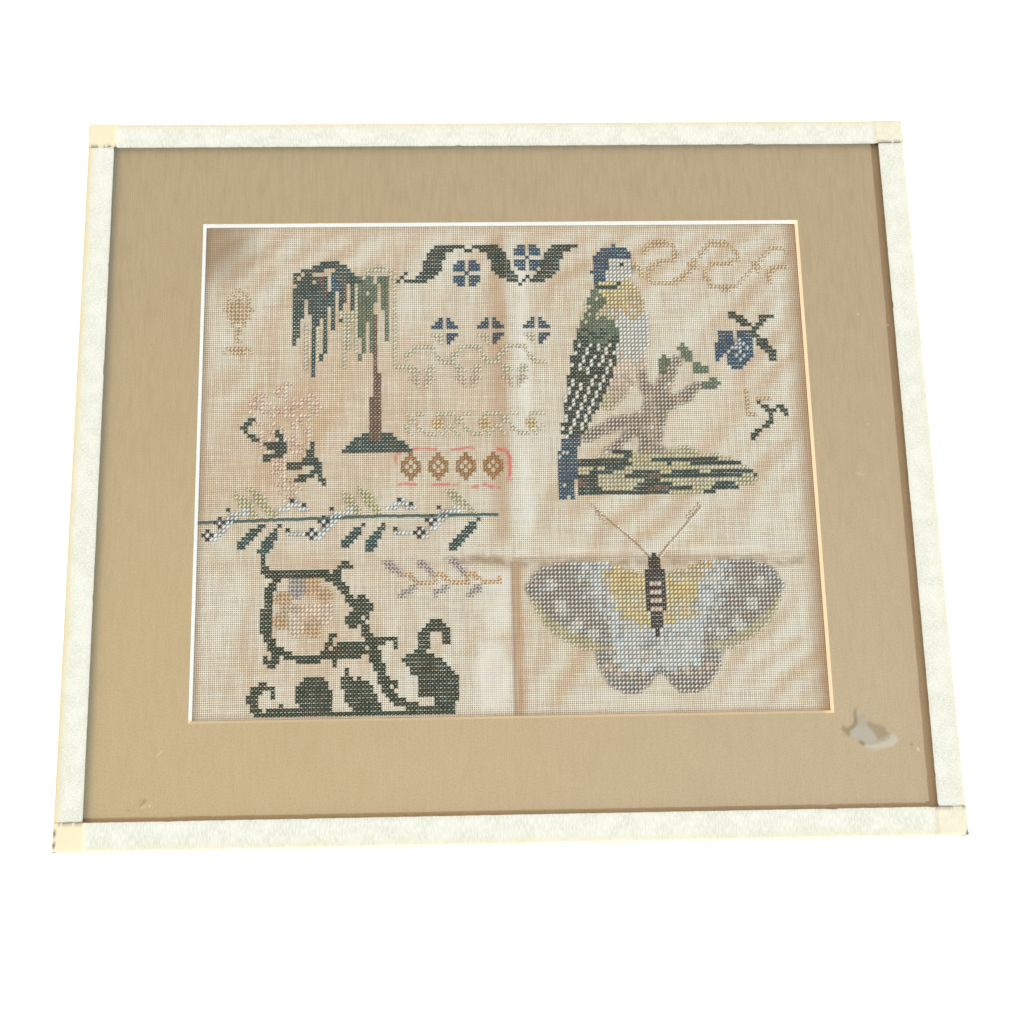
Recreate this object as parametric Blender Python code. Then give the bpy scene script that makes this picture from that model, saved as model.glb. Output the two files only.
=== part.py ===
"""Framed cross stitch sampler, bound at its edges with paper tape.

The stack lies on its back: backing board, stitched cloth, window mat and glass, held together by
four strips of tape that wrap round the edges. Metres, +Z up out of the picture's face, +Y towards
the picture's top. The origin is under the middle of the stack, on the surface that it rests on.
"""

import math

import bmesh
import bpy

# Outside of the bound stack
OUTER_WIDTH = 0.4064
OUTER_HEIGHT = 0.3556
GAP = 0.0003

# Thickness of each sheet in the stack
TAPE_THICK = 0.0004
BOARD_THICK = 0.0025
CLOTH_THICK = 0.0010
MAT_THICK = 0.0014
GLASS_THICK = 0.0020

# Binding tape, as wide as it shows on the face and as it is turned over the back
TAPE_FACE = 0.0126
TAPE_BACK = 0.0156
LAP_RAMP = 0.0020

# Window in the mat, measured at the mat's face, with a bevel at 45 degrees
WINDOW_WIDTH = 0.2935
WINDOW_HEIGHT = 0.2464
WINDOW_SHIFT_X = 0.0008
MARGIN_BELOW = 0.0436

# Cloth, cut larger than the window and caught under the mat on all sides
CLOTH_TUCK = 0.0150
CLOTH_SLACK = 0.00035
SLACK_EDGE = 0.0060
CELL = 0.0080

# Heights of the stack, from the surface upwards; tape laps over tape at the corners
Z_LAP_BACK = 0.0
Z_SIDE_BACK = Z_LAP_BACK + TAPE_THICK + GAP
Z_BOARD = Z_SIDE_BACK + TAPE_THICK + GAP
Z_CLOTH = Z_BOARD + BOARD_THICK + GAP
Z_MAT = Z_CLOTH + CLOTH_THICK + GAP
Z_GLASS = Z_MAT + MAT_THICK + GAP
Z_SIDE_FACE = Z_GLASS + GLASS_THICK + GAP
Z_LAP_FACE = Z_SIDE_FACE + TAPE_THICK + GAP

STACK_WIDTH = OUTER_WIDTH - 2 * (TAPE_THICK + GAP)
STACK_HEIGHT = OUTER_HEIGHT - 2 * (TAPE_THICK + GAP)
WINDOW_LOW_Y = -OUTER_HEIGHT / 2 + TAPE_FACE + MARGIN_BELOW
WINDOW_MID_Y = WINDOW_LOW_Y + WINDOW_HEIGHT / 2

# The cloth was once folded in four: the two old creases cross here
CREASE_X = 0.0028
CREASE_Y = -0.0455
CREASE_HALF = 0.0060
CREASE_RISE = 0.0006
CREASE_DIP = 0.0003

# Slack buckles: middle x and y, direction of the ridges in degrees from +X, distance between
# ridges, reach from the middle, height
BUCKLES = (
    {"x": -0.112, "y": 0.098, "turn": 52, "pitch": 0.026, "reach": 0.040, "height": 0.00030},
    {"x": -0.040, "y": 0.100, "turn": 60, "pitch": 0.030, "reach": 0.036, "height": 0.00022},
    {"x": 0.040, "y": 0.092, "turn": 40, "pitch": 0.026, "reach": 0.034, "height": 0.00022},
    {"x": 0.112, "y": 0.096, "turn": 50, "pitch": 0.024, "reach": 0.038, "height": 0.00030},
    {"x": 0.115, "y": 0.015, "turn": 55, "pitch": 0.028, "reach": 0.045, "height": 0.00030},
    {"x": 0.045, "y": -0.015, "turn": 48, "pitch": 0.034, "reach": 0.050, "height": 0.00028},
    {"x": 0.118, "y": -0.095, "turn": 47, "pitch": 0.026, "reach": 0.036, "height": 0.00030},
    {"x": 0.040, "y": -0.100, "turn": 75, "pitch": 0.036, "reach": 0.034, "height": 0.00022},
    {"x": -0.060, "y": -0.020, "turn": 62, "pitch": 0.038, "reach": 0.050, "height": 0.00025},
    {"x": -0.110, "y": -0.085, "turn": 84, "pitch": 0.034, "reach": 0.042, "height": 0.00022},
)


def clear_scene():
    """Remove whatever the file opened with."""
    for old in list(bpy.data.objects):
        bpy.data.objects.remove(old, do_unlink=True)


def make_material(name, colour, roughness, alpha=1.0):
    """A plain finish with one colour and one roughness."""
    material = bpy.data.materials.new(name)
    material.use_nodes = True
    shader = material.node_tree.nodes["Principled BSDF"]
    shader.inputs["Base Color"].default_value = (*colour, 1.0)
    shader.inputs["Roughness"].default_value = roughness
    shader.inputs["Metallic"].default_value = 0.0
    shader.inputs["Alpha"].default_value = alpha
    material.diffuse_color = (*colour, alpha)
    return material


def finish_object(mesh_data, name, material):
    """Turn a bmesh into a named object with its faces pointing out."""
    bmesh.ops.recalc_face_normals(mesh_data, faces=mesh_data.faces)
    mesh = bpy.data.meshes.new(name)
    mesh_data.to_mesh(mesh)
    mesh_data.free()
    mesh.materials.append(material)
    piece = bpy.data.objects.new(name, mesh)
    bpy.context.scene.collection.objects.link(piece)
    return piece


def rectangle(mid_x, mid_y, width, height, z):
    """Four corners of a level rectangle, anticlockwise."""
    left = mid_x - width / 2
    right = mid_x + width / 2
    low = mid_y - height / 2
    high = mid_y + height / 2
    return [(left, low, z), (right, low, z), (right, high, z), (left, high, z)]


def skin_loops(mesh_data, loops, closed):
    """Join each loop of points to the next with quads, and the last to the first if closed."""
    rings = [[mesh_data.verts.new(point) for point in loop] for loop in loops]
    pairs = list(zip(rings, rings[1:]))
    if closed:
        pairs.append((rings[-1], rings[0]))
    for ring, following in pairs:
        count = len(ring)
        for i in range(count):
            j = (i + 1) % count
            mesh_data.faces.new((ring[i], ring[j], following[j], following[i]))
    return rings


def make_sheet(name, z, thickness, material):
    """A flat sheet as large as the stack: the backing board and the glass."""
    mesh_data = bmesh.new()
    low = rectangle(0, 0, STACK_WIDTH, STACK_HEIGHT, z)
    high = rectangle(0, 0, STACK_WIDTH, STACK_HEIGHT, z + thickness)
    bottom, top = skin_loops(mesh_data, [low, high], closed=False)
    mesh_data.faces.new(bottom)
    mesh_data.faces.new(top)
    return finish_object(mesh_data, name, material)


def make_window_mat(material):
    """The mat board, with its window cut to a bevel that faces the viewer."""
    z_top = Z_MAT + MAT_THICK
    narrow_w = WINDOW_WIDTH - 2 * MAT_THICK
    narrow_h = WINDOW_HEIGHT - 2 * MAT_THICK
    loops = [
        rectangle(0, 0, STACK_WIDTH, STACK_HEIGHT, Z_MAT),
        rectangle(0, 0, STACK_WIDTH, STACK_HEIGHT, z_top),
        rectangle(WINDOW_SHIFT_X, WINDOW_MID_Y, WINDOW_WIDTH, WINDOW_HEIGHT, z_top),
        rectangle(WINDOW_SHIFT_X, WINDOW_MID_Y, narrow_w, narrow_h, Z_MAT),
    ]
    mesh_data = bmesh.new()
    skin_loops(mesh_data, loops, closed=True)
    return finish_object(mesh_data, "window_mat", material)


def smooth(value):
    """Ease from 0 to 1 as the value goes from 0 to 1."""
    value = min(max(value, 0.0), 1.0)
    return value * value * (3 - 2 * value)


def buckle(row, x, y):
    """Height of one patch of parallel slack ridges."""
    turn = math.radians(row["turn"])
    dx = x - row["x"]
    dy = y - row["y"]
    across = -dx * math.sin(turn) + dy * math.cos(turn)
    fade = math.exp(-(dx * dx + dy * dy) / row["reach"] ** 2)
    return row["height"] * math.cos(2 * math.pi * across / row["pitch"]) * fade


def crease(distance):
    """Profile across an old crease: 1 on its line, 0 away from it."""
    return math.exp(-abs(distance) / CREASE_HALF) * smooth(2 - abs(distance) / (2 * CREASE_HALF))


def cloth_lift(x, y):
    """How far the cloth stands off the backing board's face, in the window and under the mat."""
    half_w = WINDOW_WIDTH / 2 - 2 * MAT_THICK
    half_h = WINDOW_HEIGHT / 2 - 2 * MAT_THICK
    inset = min(half_w - abs(x - WINDOW_SHIFT_X), half_h - abs(y - WINDOW_MID_Y))
    free = smooth(inset / SLACK_EDGE)
    above = 2 * smooth(0.5 + (y - CREASE_Y) / (2 * CREASE_HALF)) - 1
    upright = crease(x - CREASE_X) * (CREASE_RISE if above > 0 else CREASE_DIP) * above
    level = -crease(y - CREASE_Y) * CREASE_DIP
    waves = sum(buckle(row, x, y) for row in BUCKLES)
    return free * max(CLOTH_SLACK + upright + level + waves, 0.0)


def grid_lines(low, high, crease_at):
    """Even cell edges, with finer ones beside a crease."""
    count = round((high - low) / CELL)
    even = [low + (high - low) * i / count for i in range(count + 1)]
    fine = [crease_at + step * CREASE_HALF for step in (-1.0, -0.45, -0.15, 0.0, 0.15, 0.45, 1.0)]
    kept = [at for at in even if abs(at - crease_at) > 1.35 * CREASE_HALF]
    return sorted(kept + fine)


def make_cloth(material):
    """The stitched linen: one thin sheet with its creases and slack, flat where the mat holds it."""
    width = WINDOW_WIDTH + 2 * CLOTH_TUCK
    height = WINDOW_HEIGHT + 2 * CLOTH_TUCK
    columns = grid_lines(WINDOW_SHIFT_X - width / 2, WINDOW_SHIFT_X + width / 2, CREASE_X)
    rows = grid_lines(WINDOW_MID_Y - height / 2, WINDOW_MID_Y + height / 2, CREASE_Y)
    mesh_data = bmesh.new()
    sides = []
    for offset in (0.0, CLOTH_THICK):
        grid = []
        for y in rows:
            line = [mesh_data.verts.new((x, y, Z_CLOTH + offset + cloth_lift(x, y))) for x in columns]
            grid.append(line)
        sides.append(grid)
        for low, high in zip(grid, grid[1:]):
            for i in range(len(columns) - 1):
                mesh_data.faces.new((low[i], low[i + 1], high[i + 1], high[i]))
    rims = []
    for grid in sides:
        right = [line[-1] for line in grid[1:-1]]
        left = [line[0] for line in reversed(grid[1:-1])]
        rims.append(grid[0] + right + list(reversed(grid[-1])) + left)
    under, over = rims
    for i in range(len(under)):
        j = (i + 1) % len(under)
        mesh_data.faces.new((under[i], under[j], over[j], over[i]))
    piece = finish_object(mesh_data, "sampler_cloth", material)
    piece.data.shade_smooth()
    piece.data.set_sharp_from_angle(angle=math.radians(40))
    return piece


def tape_profile(depth_face, z_face, z_back):
    """Section of a strip folded over an edge, as pairs of inward distance and height."""
    t = TAPE_THICK
    return [
        (0.0, z_back),
        (TAPE_BACK, z_back),
        (TAPE_BACK, z_back + t),
        (t, z_back + t),
        (t, z_face),
        (depth_face, z_face),
        (depth_face, z_face + t),
        (0.0, z_face + t),
    ]


def skin_strip(name, sections, material):
    """Close a row of equal sections into one strip with two ends."""
    mesh_data = bmesh.new()
    rings = skin_loops(mesh_data, sections, closed=False)
    for ring in (rings[0], rings[-1]):
        a, b, c, d, e, f, g, h = ring
        mesh_data.faces.new((a, b, c, d))
        mesh_data.faces.new((a, d, e, h))
        mesh_data.faces.new((e, f, g, h))
    return finish_object(mesh_data, name, material)


def make_side_binding(name, side, material):
    """A strip down the left (-1) or right (+1) edge, its ends under the other two strips."""
    half = STACK_HEIGHT / 2
    profile = tape_profile(TAPE_FACE, Z_SIDE_FACE, Z_SIDE_BACK)
    sections = []
    for y in (-half, half):
        sections.append([(side * (OUTER_WIDTH / 2 - inward), y, z) for inward, z in profile])
    return skin_strip(name, sections, material)


def make_end_binding(name, side, material):
    """A strip along the lower (-1) or upper (+1) edge, lapped over the side strips' ends."""
    half = OUTER_WIDTH / 2
    lap = half - TAPE_FACE - GAP
    stations = [
        (-half, Z_LAP_FACE),
        (-lap, Z_LAP_FACE),
        (-lap + LAP_RAMP, Z_SIDE_FACE),
        (lap - LAP_RAMP, Z_SIDE_FACE),
        (lap, Z_LAP_FACE),
        (half, Z_LAP_FACE),
    ]
    sections = []
    for x, z_face in stations:
        profile = tape_profile(TAPE_FACE, z_face, Z_LAP_BACK)
        sections.append([(x, side * (OUTER_HEIGHT / 2 - inward), z) for inward, z in profile])
    return skin_strip(name, sections, material)


def build():
    clear_scene()
    board = make_material("grey_board", (0.42, 0.38, 0.32), 0.9)
    linen = make_material("aged_linen", (0.74, 0.62, 0.44), 0.92)
    mat = make_material("tan_mat_board", (0.50, 0.37, 0.23), 0.85)
    glass = make_material("clear_glass", (0.95, 0.97, 0.96), 0.03, alpha=0.12)
    tape = make_material("cream_paper_tape", (0.83, 0.85, 0.70), 0.8)

    make_sheet("backing_board", Z_BOARD, BOARD_THICK, board)
    make_cloth(linen)
    make_window_mat(mat)
    make_sheet("glazing", Z_GLASS, GLASS_THICK, glass)
    make_side_binding("binding_left", -1, tape)
    make_side_binding("binding_right", 1, tape)
    make_end_binding("binding_bottom", -1, tape)
    make_end_binding("binding_top", 1, tape)


build()
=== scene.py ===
# %% [markdown]
# A framed cross stitch sampler
#
# The real object is a stack: grey board, stitched linen, a tan mat with a bevelled window, and
# glass, held by cream paper tape folded round the edges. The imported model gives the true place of
# each sheet. This script gives each one its finish, and sews the linen.

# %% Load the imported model
import math
import random

import bmesh
import bpy
import numpy as np
from mathutils import Matrix, Vector, noise
from mathutils.bvhtree import BVHTree


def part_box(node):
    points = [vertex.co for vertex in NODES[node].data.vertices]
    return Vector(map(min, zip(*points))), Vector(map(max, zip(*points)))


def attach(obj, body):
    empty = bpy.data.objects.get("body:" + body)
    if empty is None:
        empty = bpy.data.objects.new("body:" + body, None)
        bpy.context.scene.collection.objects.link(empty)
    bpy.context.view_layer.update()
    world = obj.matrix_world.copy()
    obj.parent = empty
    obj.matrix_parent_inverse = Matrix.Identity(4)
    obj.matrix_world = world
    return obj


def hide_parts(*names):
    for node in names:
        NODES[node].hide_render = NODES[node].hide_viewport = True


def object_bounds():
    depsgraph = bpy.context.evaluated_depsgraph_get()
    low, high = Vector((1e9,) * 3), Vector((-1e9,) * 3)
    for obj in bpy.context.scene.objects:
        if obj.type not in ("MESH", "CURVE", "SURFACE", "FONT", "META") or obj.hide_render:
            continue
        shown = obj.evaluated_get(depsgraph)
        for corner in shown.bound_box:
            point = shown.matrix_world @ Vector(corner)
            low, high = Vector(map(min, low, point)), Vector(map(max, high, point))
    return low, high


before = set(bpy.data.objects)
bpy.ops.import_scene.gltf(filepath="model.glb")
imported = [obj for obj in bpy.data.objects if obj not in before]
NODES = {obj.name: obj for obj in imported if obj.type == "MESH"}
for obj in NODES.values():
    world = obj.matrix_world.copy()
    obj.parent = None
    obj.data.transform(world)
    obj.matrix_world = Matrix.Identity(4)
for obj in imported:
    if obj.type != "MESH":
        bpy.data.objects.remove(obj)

CAD_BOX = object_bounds()
MM = 0.001
BODY = "root"
scene = bpy.context.scene


def show(name, data):
    """A new object at the origin, linked to the scene."""
    piece = bpy.data.objects.new(name, data)
    scene.collection.objects.link(piece)
    return piece


print("loaded", sorted(NODES))

# %% [markdown]
# The camera comes first. The picture lies on its back and the photographer leaned over its lower
# edge, so the far edge looks narrower than the near one. A lens of 60 mm on a 36 mm sensor gives
# that much narrowing. The place was fitted to the corners of the window and the tape.

# %% Camera
EYE = Vector((-0.0254, -0.2444, 0.7739))
AIM = Vector((0.00236, -0.02381, 0.0056))
CAMERA_ROLL = math.radians(1.32)
LENS_MM = 59.77
SENSOR_MM = 36.0


def place_camera():
    """Look from EYE to AIM, with the picture's top up and a small roll."""
    data = bpy.data.cameras.new("camera")
    data.lens = LENS_MM
    data.sensor_width = SENSOR_MM
    data.dof.use_dof = False
    camera = show("camera", data)
    forward = (AIM - EYE).normalized()
    level = forward.cross(Vector((0, 1, 0))).normalized()
    rise = level.cross(forward)
    right = level * math.cos(CAMERA_ROLL) - rise * math.sin(CAMERA_ROLL)
    up = rise * math.cos(CAMERA_ROLL) + level * math.sin(CAMERA_ROLL)
    turn = Matrix((right, up, -forward)).transposed().to_4x4()
    camera.matrix_world = Matrix.Translation(EYE) @ turn
    scene.camera = camera


place_camera()
print("camera", round((EYE - AIM).length, 3), "m from the picture")

# %% [markdown]
# Shader maths reads better as sums than as rows of nodes. `Wire` is an output socket that knows
# how to add, multiply and so on, and `Graph.node` makes any other node from its type, its settings
# and what its sockets hold. The same two classes serve Geometry Nodes.

# %% Node helpers
class Wire:
    """An output socket that can take part in a sum."""

    def __init__(self, graph, socket):
        self.graph = graph
        self.socket = socket

    def math(self, operation, *others):
        """Any operation of the Math node, with this socket first."""
        sockets = dict(enumerate((self, *others)))
        return self.graph.node("ShaderNodeMath", {"operation": operation}, sockets)

    def __add__(self, other):
        return self.math("ADD", other)

    def __sub__(self, other):
        return self.math("SUBTRACT", other)

    def __rsub__(self, other):
        return (self * -1.0).math("ADD", other)

    def __mul__(self, other):
        return self.math("MULTIPLY", other)

    def __truediv__(self, other):
        return self.math("DIVIDE", other)

    __radd__ = __add__
    __rmul__ = __mul__

    def rising(self, low, high):
        """0 below low, 1 above high, eased between; falling if low is the larger."""
        settings = {"interpolation_type": "SMOOTHSTEP"}
        ends = {"From Min": low, "From Max": high, "To Min": 0.0, "To Max": 1.0}
        return self.graph.node("ShaderNodeMapRange", settings, {"Value": self, **ends}, "Result")


class Graph:
    """A node tree with one way to add a node."""

    def __init__(self, tree):
        self.tree = tree

    def node(self, kind, settings=None, sockets=None, out=0):
        """A node of some kind, its settings, what its sockets hold, and one of its outputs."""
        made = self.tree.nodes.new(kind)
        for name, value in (settings or {}).items():
            setattr(made, name, value)
        for name, value in (sockets or {}).items():
            if isinstance(value, Wire):
                self.tree.links.new(value.socket, made.inputs[name])
            else:
                made.inputs[name].default_value = value
        return Wire(self, made.outputs[out]) if made.outputs else made


def srgb(red, green, blue):
    """A colour given as 0 to 255 per channel, as linear light."""
    parts = (red / 255, green / 255, blue / 255)
    return tuple(c / 12.92 if c <= 0.04045 else ((c + 0.055) / 1.055) ** 2.4 for c in parts)


class Finish(Graph):
    """A material with its Principled surface, and the nodes that most finishes need."""

    def __init__(self, name, roughness):
        self.material = bpy.data.materials.new(name)
        self.material.use_nodes = True
        super().__init__(self.material.node_tree)
        self.surface = self.tree.nodes["Principled BSDF"]
        self.surface.inputs["Roughness"].default_value = roughness
        self.place = self.node("ShaderNodeTexCoord", out="Object")
        self.x = self.node("ShaderNodeSeparateXYZ", sockets={0: self.place}, out="X")
        self.y = self.node("ShaderNodeSeparateXYZ", sockets={0: self.place}, out="Y")

    def noise(self, scale, detail=2.0, stretch=(1, 1, 1), turn=0.0, seed=0.0):
        """Soft noise, `scale` features to the metre, stretched and turned about Z."""
        moved = {"Location": (seed, seed, 0), "Rotation": (0, 0, turn), "Scale": stretch}
        settings = {"vector_type": "TEXTURE"}
        mapped = self.node("ShaderNodeMapping", settings, {"Vector": self.place, **moved})
        sockets = {"Vector": mapped, "Scale": scale, "Detail": detail, "Roughness": 0.55}
        return self.node("ShaderNodeTexNoise", {"noise_dimensions": "3D"}, sockets, "Fac")

    def mix(self, share, first, second):
        """A colour between two others."""
        first, second = [(*c, 1.0) if isinstance(c, tuple) else c for c in (first, second)]
        sockets = {"Factor": share, 6: first, 7: second}
        return self.node("ShaderNodeMix", {"data_type": "RGBA"}, sockets, 2)

    def attribute(self, name, out="Fac"):
        """A value that the mesh keeps for each of its points."""
        return self.node("ShaderNodeAttribute", {"attribute_name": name}, out=out)

    def bump(self, height, distance, strength=1.0):
        """Small relief: `distance` metres where height rises by 1."""
        sockets = {"Height": height, "Distance": distance, "Strength": strength}
        return self.node("ShaderNodeBump", None, sockets, "Normal")

    def feed(self, socket, wire):
        """Lead a result into the surface."""
        self.tree.links.new(wire.socket, self.surface.inputs[socket])


print("helpers ready")

# %% [markdown]
# The light comes from the picture's right and slightly from below: the tape throws a strip of shadow
# on the mat at the right and at the bottom, and the bevels that face the light blaze white. The
# shadows are brown and the lit ridges of the linen nearly white, so the sun is cool and the sky warm.

# %% Stage and light
SUN_FROM = Vector((1.04, -0.76, 1.0))
SUN_STRENGTH = 2.50
SUN_COLOUR = (0.60, 0.82, 1.0)
SUN_SOFTNESS = math.radians(4.0)
FILL_FROM = Vector((-5.0, 1.5, 4.0))
FILL_STRENGTH = 0.60
FILL_COLOUR = (1.0, 0.84, 0.70)
FILL_SOFTNESS = 0.9
SKY_STRENGTH = 0.66
SKY_COLOUR = (0.945, 0.81, 0.69)
FLOOR_HALF = 3.0
FLOOR_Z = -0.0002
FLOOR_WHITE = (0.93, 0.93, 0.93, 1.0)
FLOOR_GLOW = 0.6


def add_sun(name, source, strength, colour, angle):
    """A far lamp in the direction of `source`; a wide angle softens its shadows."""
    lamp = bpy.data.lights.new(name, "SUN")
    lamp.energy = strength
    lamp.color = colour
    lamp.angle = angle
    show(name, lamp).matrix_world = source.to_track_quat("Z", "Y").to_matrix().to_4x4()


def light_scene():
    """A cool sun, a weak wide fill from the left, and a plain warm sky."""
    scene.view_settings.view_transform = "Standard"
    world = bpy.data.worlds.new("sky")
    world.use_nodes = True
    sky = world.node_tree.nodes["Background"]
    sky.inputs["Color"].default_value = (*SKY_COLOUR, 1.0)
    sky.inputs["Strength"].default_value = SKY_STRENGTH
    scene.world = world
    add_sun("key", SUN_FROM, SUN_STRENGTH, SUN_COLOUR, SUN_SOFTNESS)
    add_sun("fill", FILL_FROM, FILL_STRENGTH, FILL_COLOUR, FILL_SOFTNESS)


def lay_floor():
    """A plain pale floor, a hair under the resting face."""
    paper = Finish("pale_floor", 0.9)
    paper.surface.inputs["Base Color"].default_value = FLOOR_WHITE
    paper.surface.inputs["Emission Color"].default_value = (1.0, 1.0, 1.0, 1.0)
    paper.surface.inputs["Emission Strength"].default_value = FLOOR_GLOW
    mesh = bpy.data.meshes.new("floor")
    corners = [(u * FLOOR_HALF, v * FLOOR_HALF, FLOOR_Z) for u, v in ((-1, -1), (1, -1), (1, 1), (-1, 1))]
    mesh.from_pydata(corners, [], [(0, 1, 2, 3)])
    mesh.materials.append(paper.material)
    show("floor", mesh)


light_scene()
lay_floor()
print("sun", SUN_STRENGTH, "fill", FILL_STRENGTH, "sky", SKY_STRENGTH)

# %% [markdown]
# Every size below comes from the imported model, so that the finished sheets lie where the solids
# lie. The mat's window is the only size that its box doesn't give; it is read from the mat's own
# corners.

# %% Sizes from the frame
CLOTH_LOW, CLOTH_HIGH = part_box("sampler_cloth")
MAT_LOW, MAT_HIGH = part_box("window_mat")
GLASS_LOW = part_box("glazing")[0]
WHOLE_HIGH = Vector(CAD_BOX[1])


def read_window():
    """Edges of the window at the mat's face: left, right, bottom, top."""
    face = [v.co for v in NODES["window_mat"].data.vertices if v.co.z > MAT_HIGH.z - 0.1 * MM]
    inside_x = sorted({round(v.x, 5) for v in face if abs(v.x) < MAT_HIGH.x - 1 * MM})
    inside_y = sorted({round(v.y, 5) for v in face if abs(v.y) < MAT_HIGH.y - 1 * MM})
    return inside_x[0], inside_x[-1], inside_y[0], inside_y[-1]


WIN_LEFT, WIN_RIGHT, WIN_LOW, WIN_TOP = read_window()
BEVEL = MAT_HIGH.z - MAT_LOW.z
print("window", [round(v / MM, 1) for v in (WIN_LEFT, WIN_RIGHT, WIN_LOW, WIN_TOP)])


def mesh_piece(name, points, faces, materials, smooth=True):
    """A mesh object at the origin, with its place in its points."""
    mesh = bpy.data.meshes.new(name)
    mesh.from_pydata([tuple(p) for p in points], [], faces)
    for material in materials:
        mesh.materials.append(material)
    if smooth:
        mesh.shade_smooth()
    mesh.update()
    return show(name, mesh)


def face_outwards(piece):
    """Turn a closed piece's faces outwards, and cut its many-sided ends into triangles."""
    shell = bmesh.new()
    shell.from_mesh(piece.data)
    bmesh.ops.triangulate(shell, faces=[face for face in shell.faces if len(face.verts) > 4])
    bmesh.ops.recalc_face_normals(shell, faces=shell.faces)
    shell.to_mesh(piece.data)
    shell.free()


FIELDS = {"FLOAT": "value", "FLOAT_VECTOR": "vector", "FLOAT_COLOR": "color"}


def keep(mesh, name, values, kind="FLOAT"):
    """Keep a value for each point of a mesh, for a finish or a tree to read by name."""
    mesh.attributes.new(name, kind, "POINT").data.foreach_set(FIELDS[kind], values)


def rim_of(left, right, low, top):
    """Grid places round a rectangle, anticlockwise."""
    rim = [(i, low) for i in range(left, right)]
    rim += [(right, j) for j in range(low, top)]
    rim += [(i, top) for i in range(right, left, -1)]
    rim += [(left, j) for j in range(top, low, -1)]
    return rim


def ease(value):
    """0 to 1 with soft ends, on numbers or arrays."""
    value = np.clip(value, 0.0, 1.0)
    return value * value * (3 - 2 * value)


def wobble(x, y, z):
    """Smooth noise at a place, between about -1 and 1."""
    return noise.noise(Vector((x, y, z)))


# %% [markdown]
# The linen was once folded in four, and it has gone slack behind the glass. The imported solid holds
# its two creases and main buckles, in cells of 8 mm. The finished sheet takes those heights from
# the solid, smooths them, and adds what is finer: the sharp line of each crease and small ripples
# that run up to the right.

# %% Height of the linen
SHEET_STEP = 1.6 * MM
CREASE_X = 2.8 * MM
CREASE_Y = -45.5 * MM
SMOOTH_PASSES = 10
RIPPLE_GAIN = 1.3
TOP_LIMIT = GLASS_LOW.z - 0.75 * MM
HELD_EDGE = 2.0 * MM
FREE_EDGE = 6.0 * MM
RIDGE_HEIGHT = 0.28 * MM
RIDGE_WIDTH = 1.6 * MM
GROOVE_DEPTH = 0.22 * MM
GROOVE_WIDTH = 1.3 * MM

# Fine ripples: middle, direction from +X in degrees, pitch, reach and height, in millimetres
RIPPLES = (
    {"x": -128, "y": 112, "turn": 55, "pitch": 13, "reach": 30, "height": 0.25},
    {"x": -85, "y": 114, "turn": 60, "pitch": 14, "reach": 30, "height": 0.20},
    {"x": -20, "y": 112, "turn": 62, "pitch": 15, "reach": 30, "height": 0.15},
    {"x": 35, "y": 108, "turn": 42, "pitch": 12, "reach": 26, "height": 0.18},
    {"x": 78, "y": 110, "turn": 48, "pitch": 13, "reach": 28, "height": 0.19},
    {"x": 128, "y": 104, "turn": 52, "pitch": 12, "reach": 28, "height": 0.25},
    {"x": 130, "y": 55, "turn": 58, "pitch": 13, "reach": 28, "height": 0.22},
    {"x": 132, "y": 0, "turn": 60, "pitch": 14, "reach": 30, "height": 0.22},
    {"x": 60, "y": -28, "turn": 52, "pitch": 15, "reach": 34, "height": 0.22},
    {"x": 128, "y": -95, "turn": 50, "pitch": 12, "reach": 30, "height": 0.25},
    {"x": 18, "y": -98, "turn": 80, "pitch": 16, "reach": 26, "height": 0.18},
    {"x": -45, "y": -90, "turn": 88, "pitch": 15, "reach": 30, "height": 0.15},
    {"x": -130, "y": -70, "turn": 95, "pitch": 14, "reach": 34, "height": 0.15},
    {"x": -115, "y": 30, "turn": 70, "pitch": 18, "reach": 34, "height": 0.15},
)


def sheet_axes():
    """Even grid lines across the cloth, both ways."""
    spans = (CLOTH_HIGH.x - CLOTH_LOW.x, CLOTH_HIGH.y - CLOTH_LOW.y)
    counts = [round(span / SHEET_STEP) for span in spans]
    xs = np.linspace(CLOTH_LOW.x, CLOTH_HIGH.x, counts[0] + 1)
    ys = np.linspace(CLOTH_LOW.y, CLOTH_HIGH.y, counts[1] + 1)
    return xs, ys


def blur(values, passes):
    """Average each grid value with its neighbours, again and again."""
    for _ in range(passes):
        wide = np.pad(values, 1, mode="edge")
        beside = wide[1:-1, :-2] + wide[1:-1, 2:] + wide[:-2, 1:-1] + wide[2:, 1:-1]
        values = beside / 8 + values / 2
    return values


def solid_heights(xs, ys):
    """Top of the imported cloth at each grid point, smoothed."""
    node = NODES["sampler_cloth"]
    tree = BVHTree.FromObject(node, bpy.context.evaluated_depsgraph_get())
    edge = 0.05 * MM
    heights = np.empty((len(ys), len(xs)))
    down = Vector((0, 0, -1))
    for j, y in enumerate(np.clip(ys, ys[0] + edge, ys[-1] - edge)):
        for i, x in enumerate(np.clip(xs, xs[0] + edge, xs[-1] - edge)):
            hit = tree.ray_cast(Vector((x, y, 1.0)), down)[0]
            heights[j, i] = hit.z
    return blur(heights, SMOOTH_PASSES)


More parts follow.
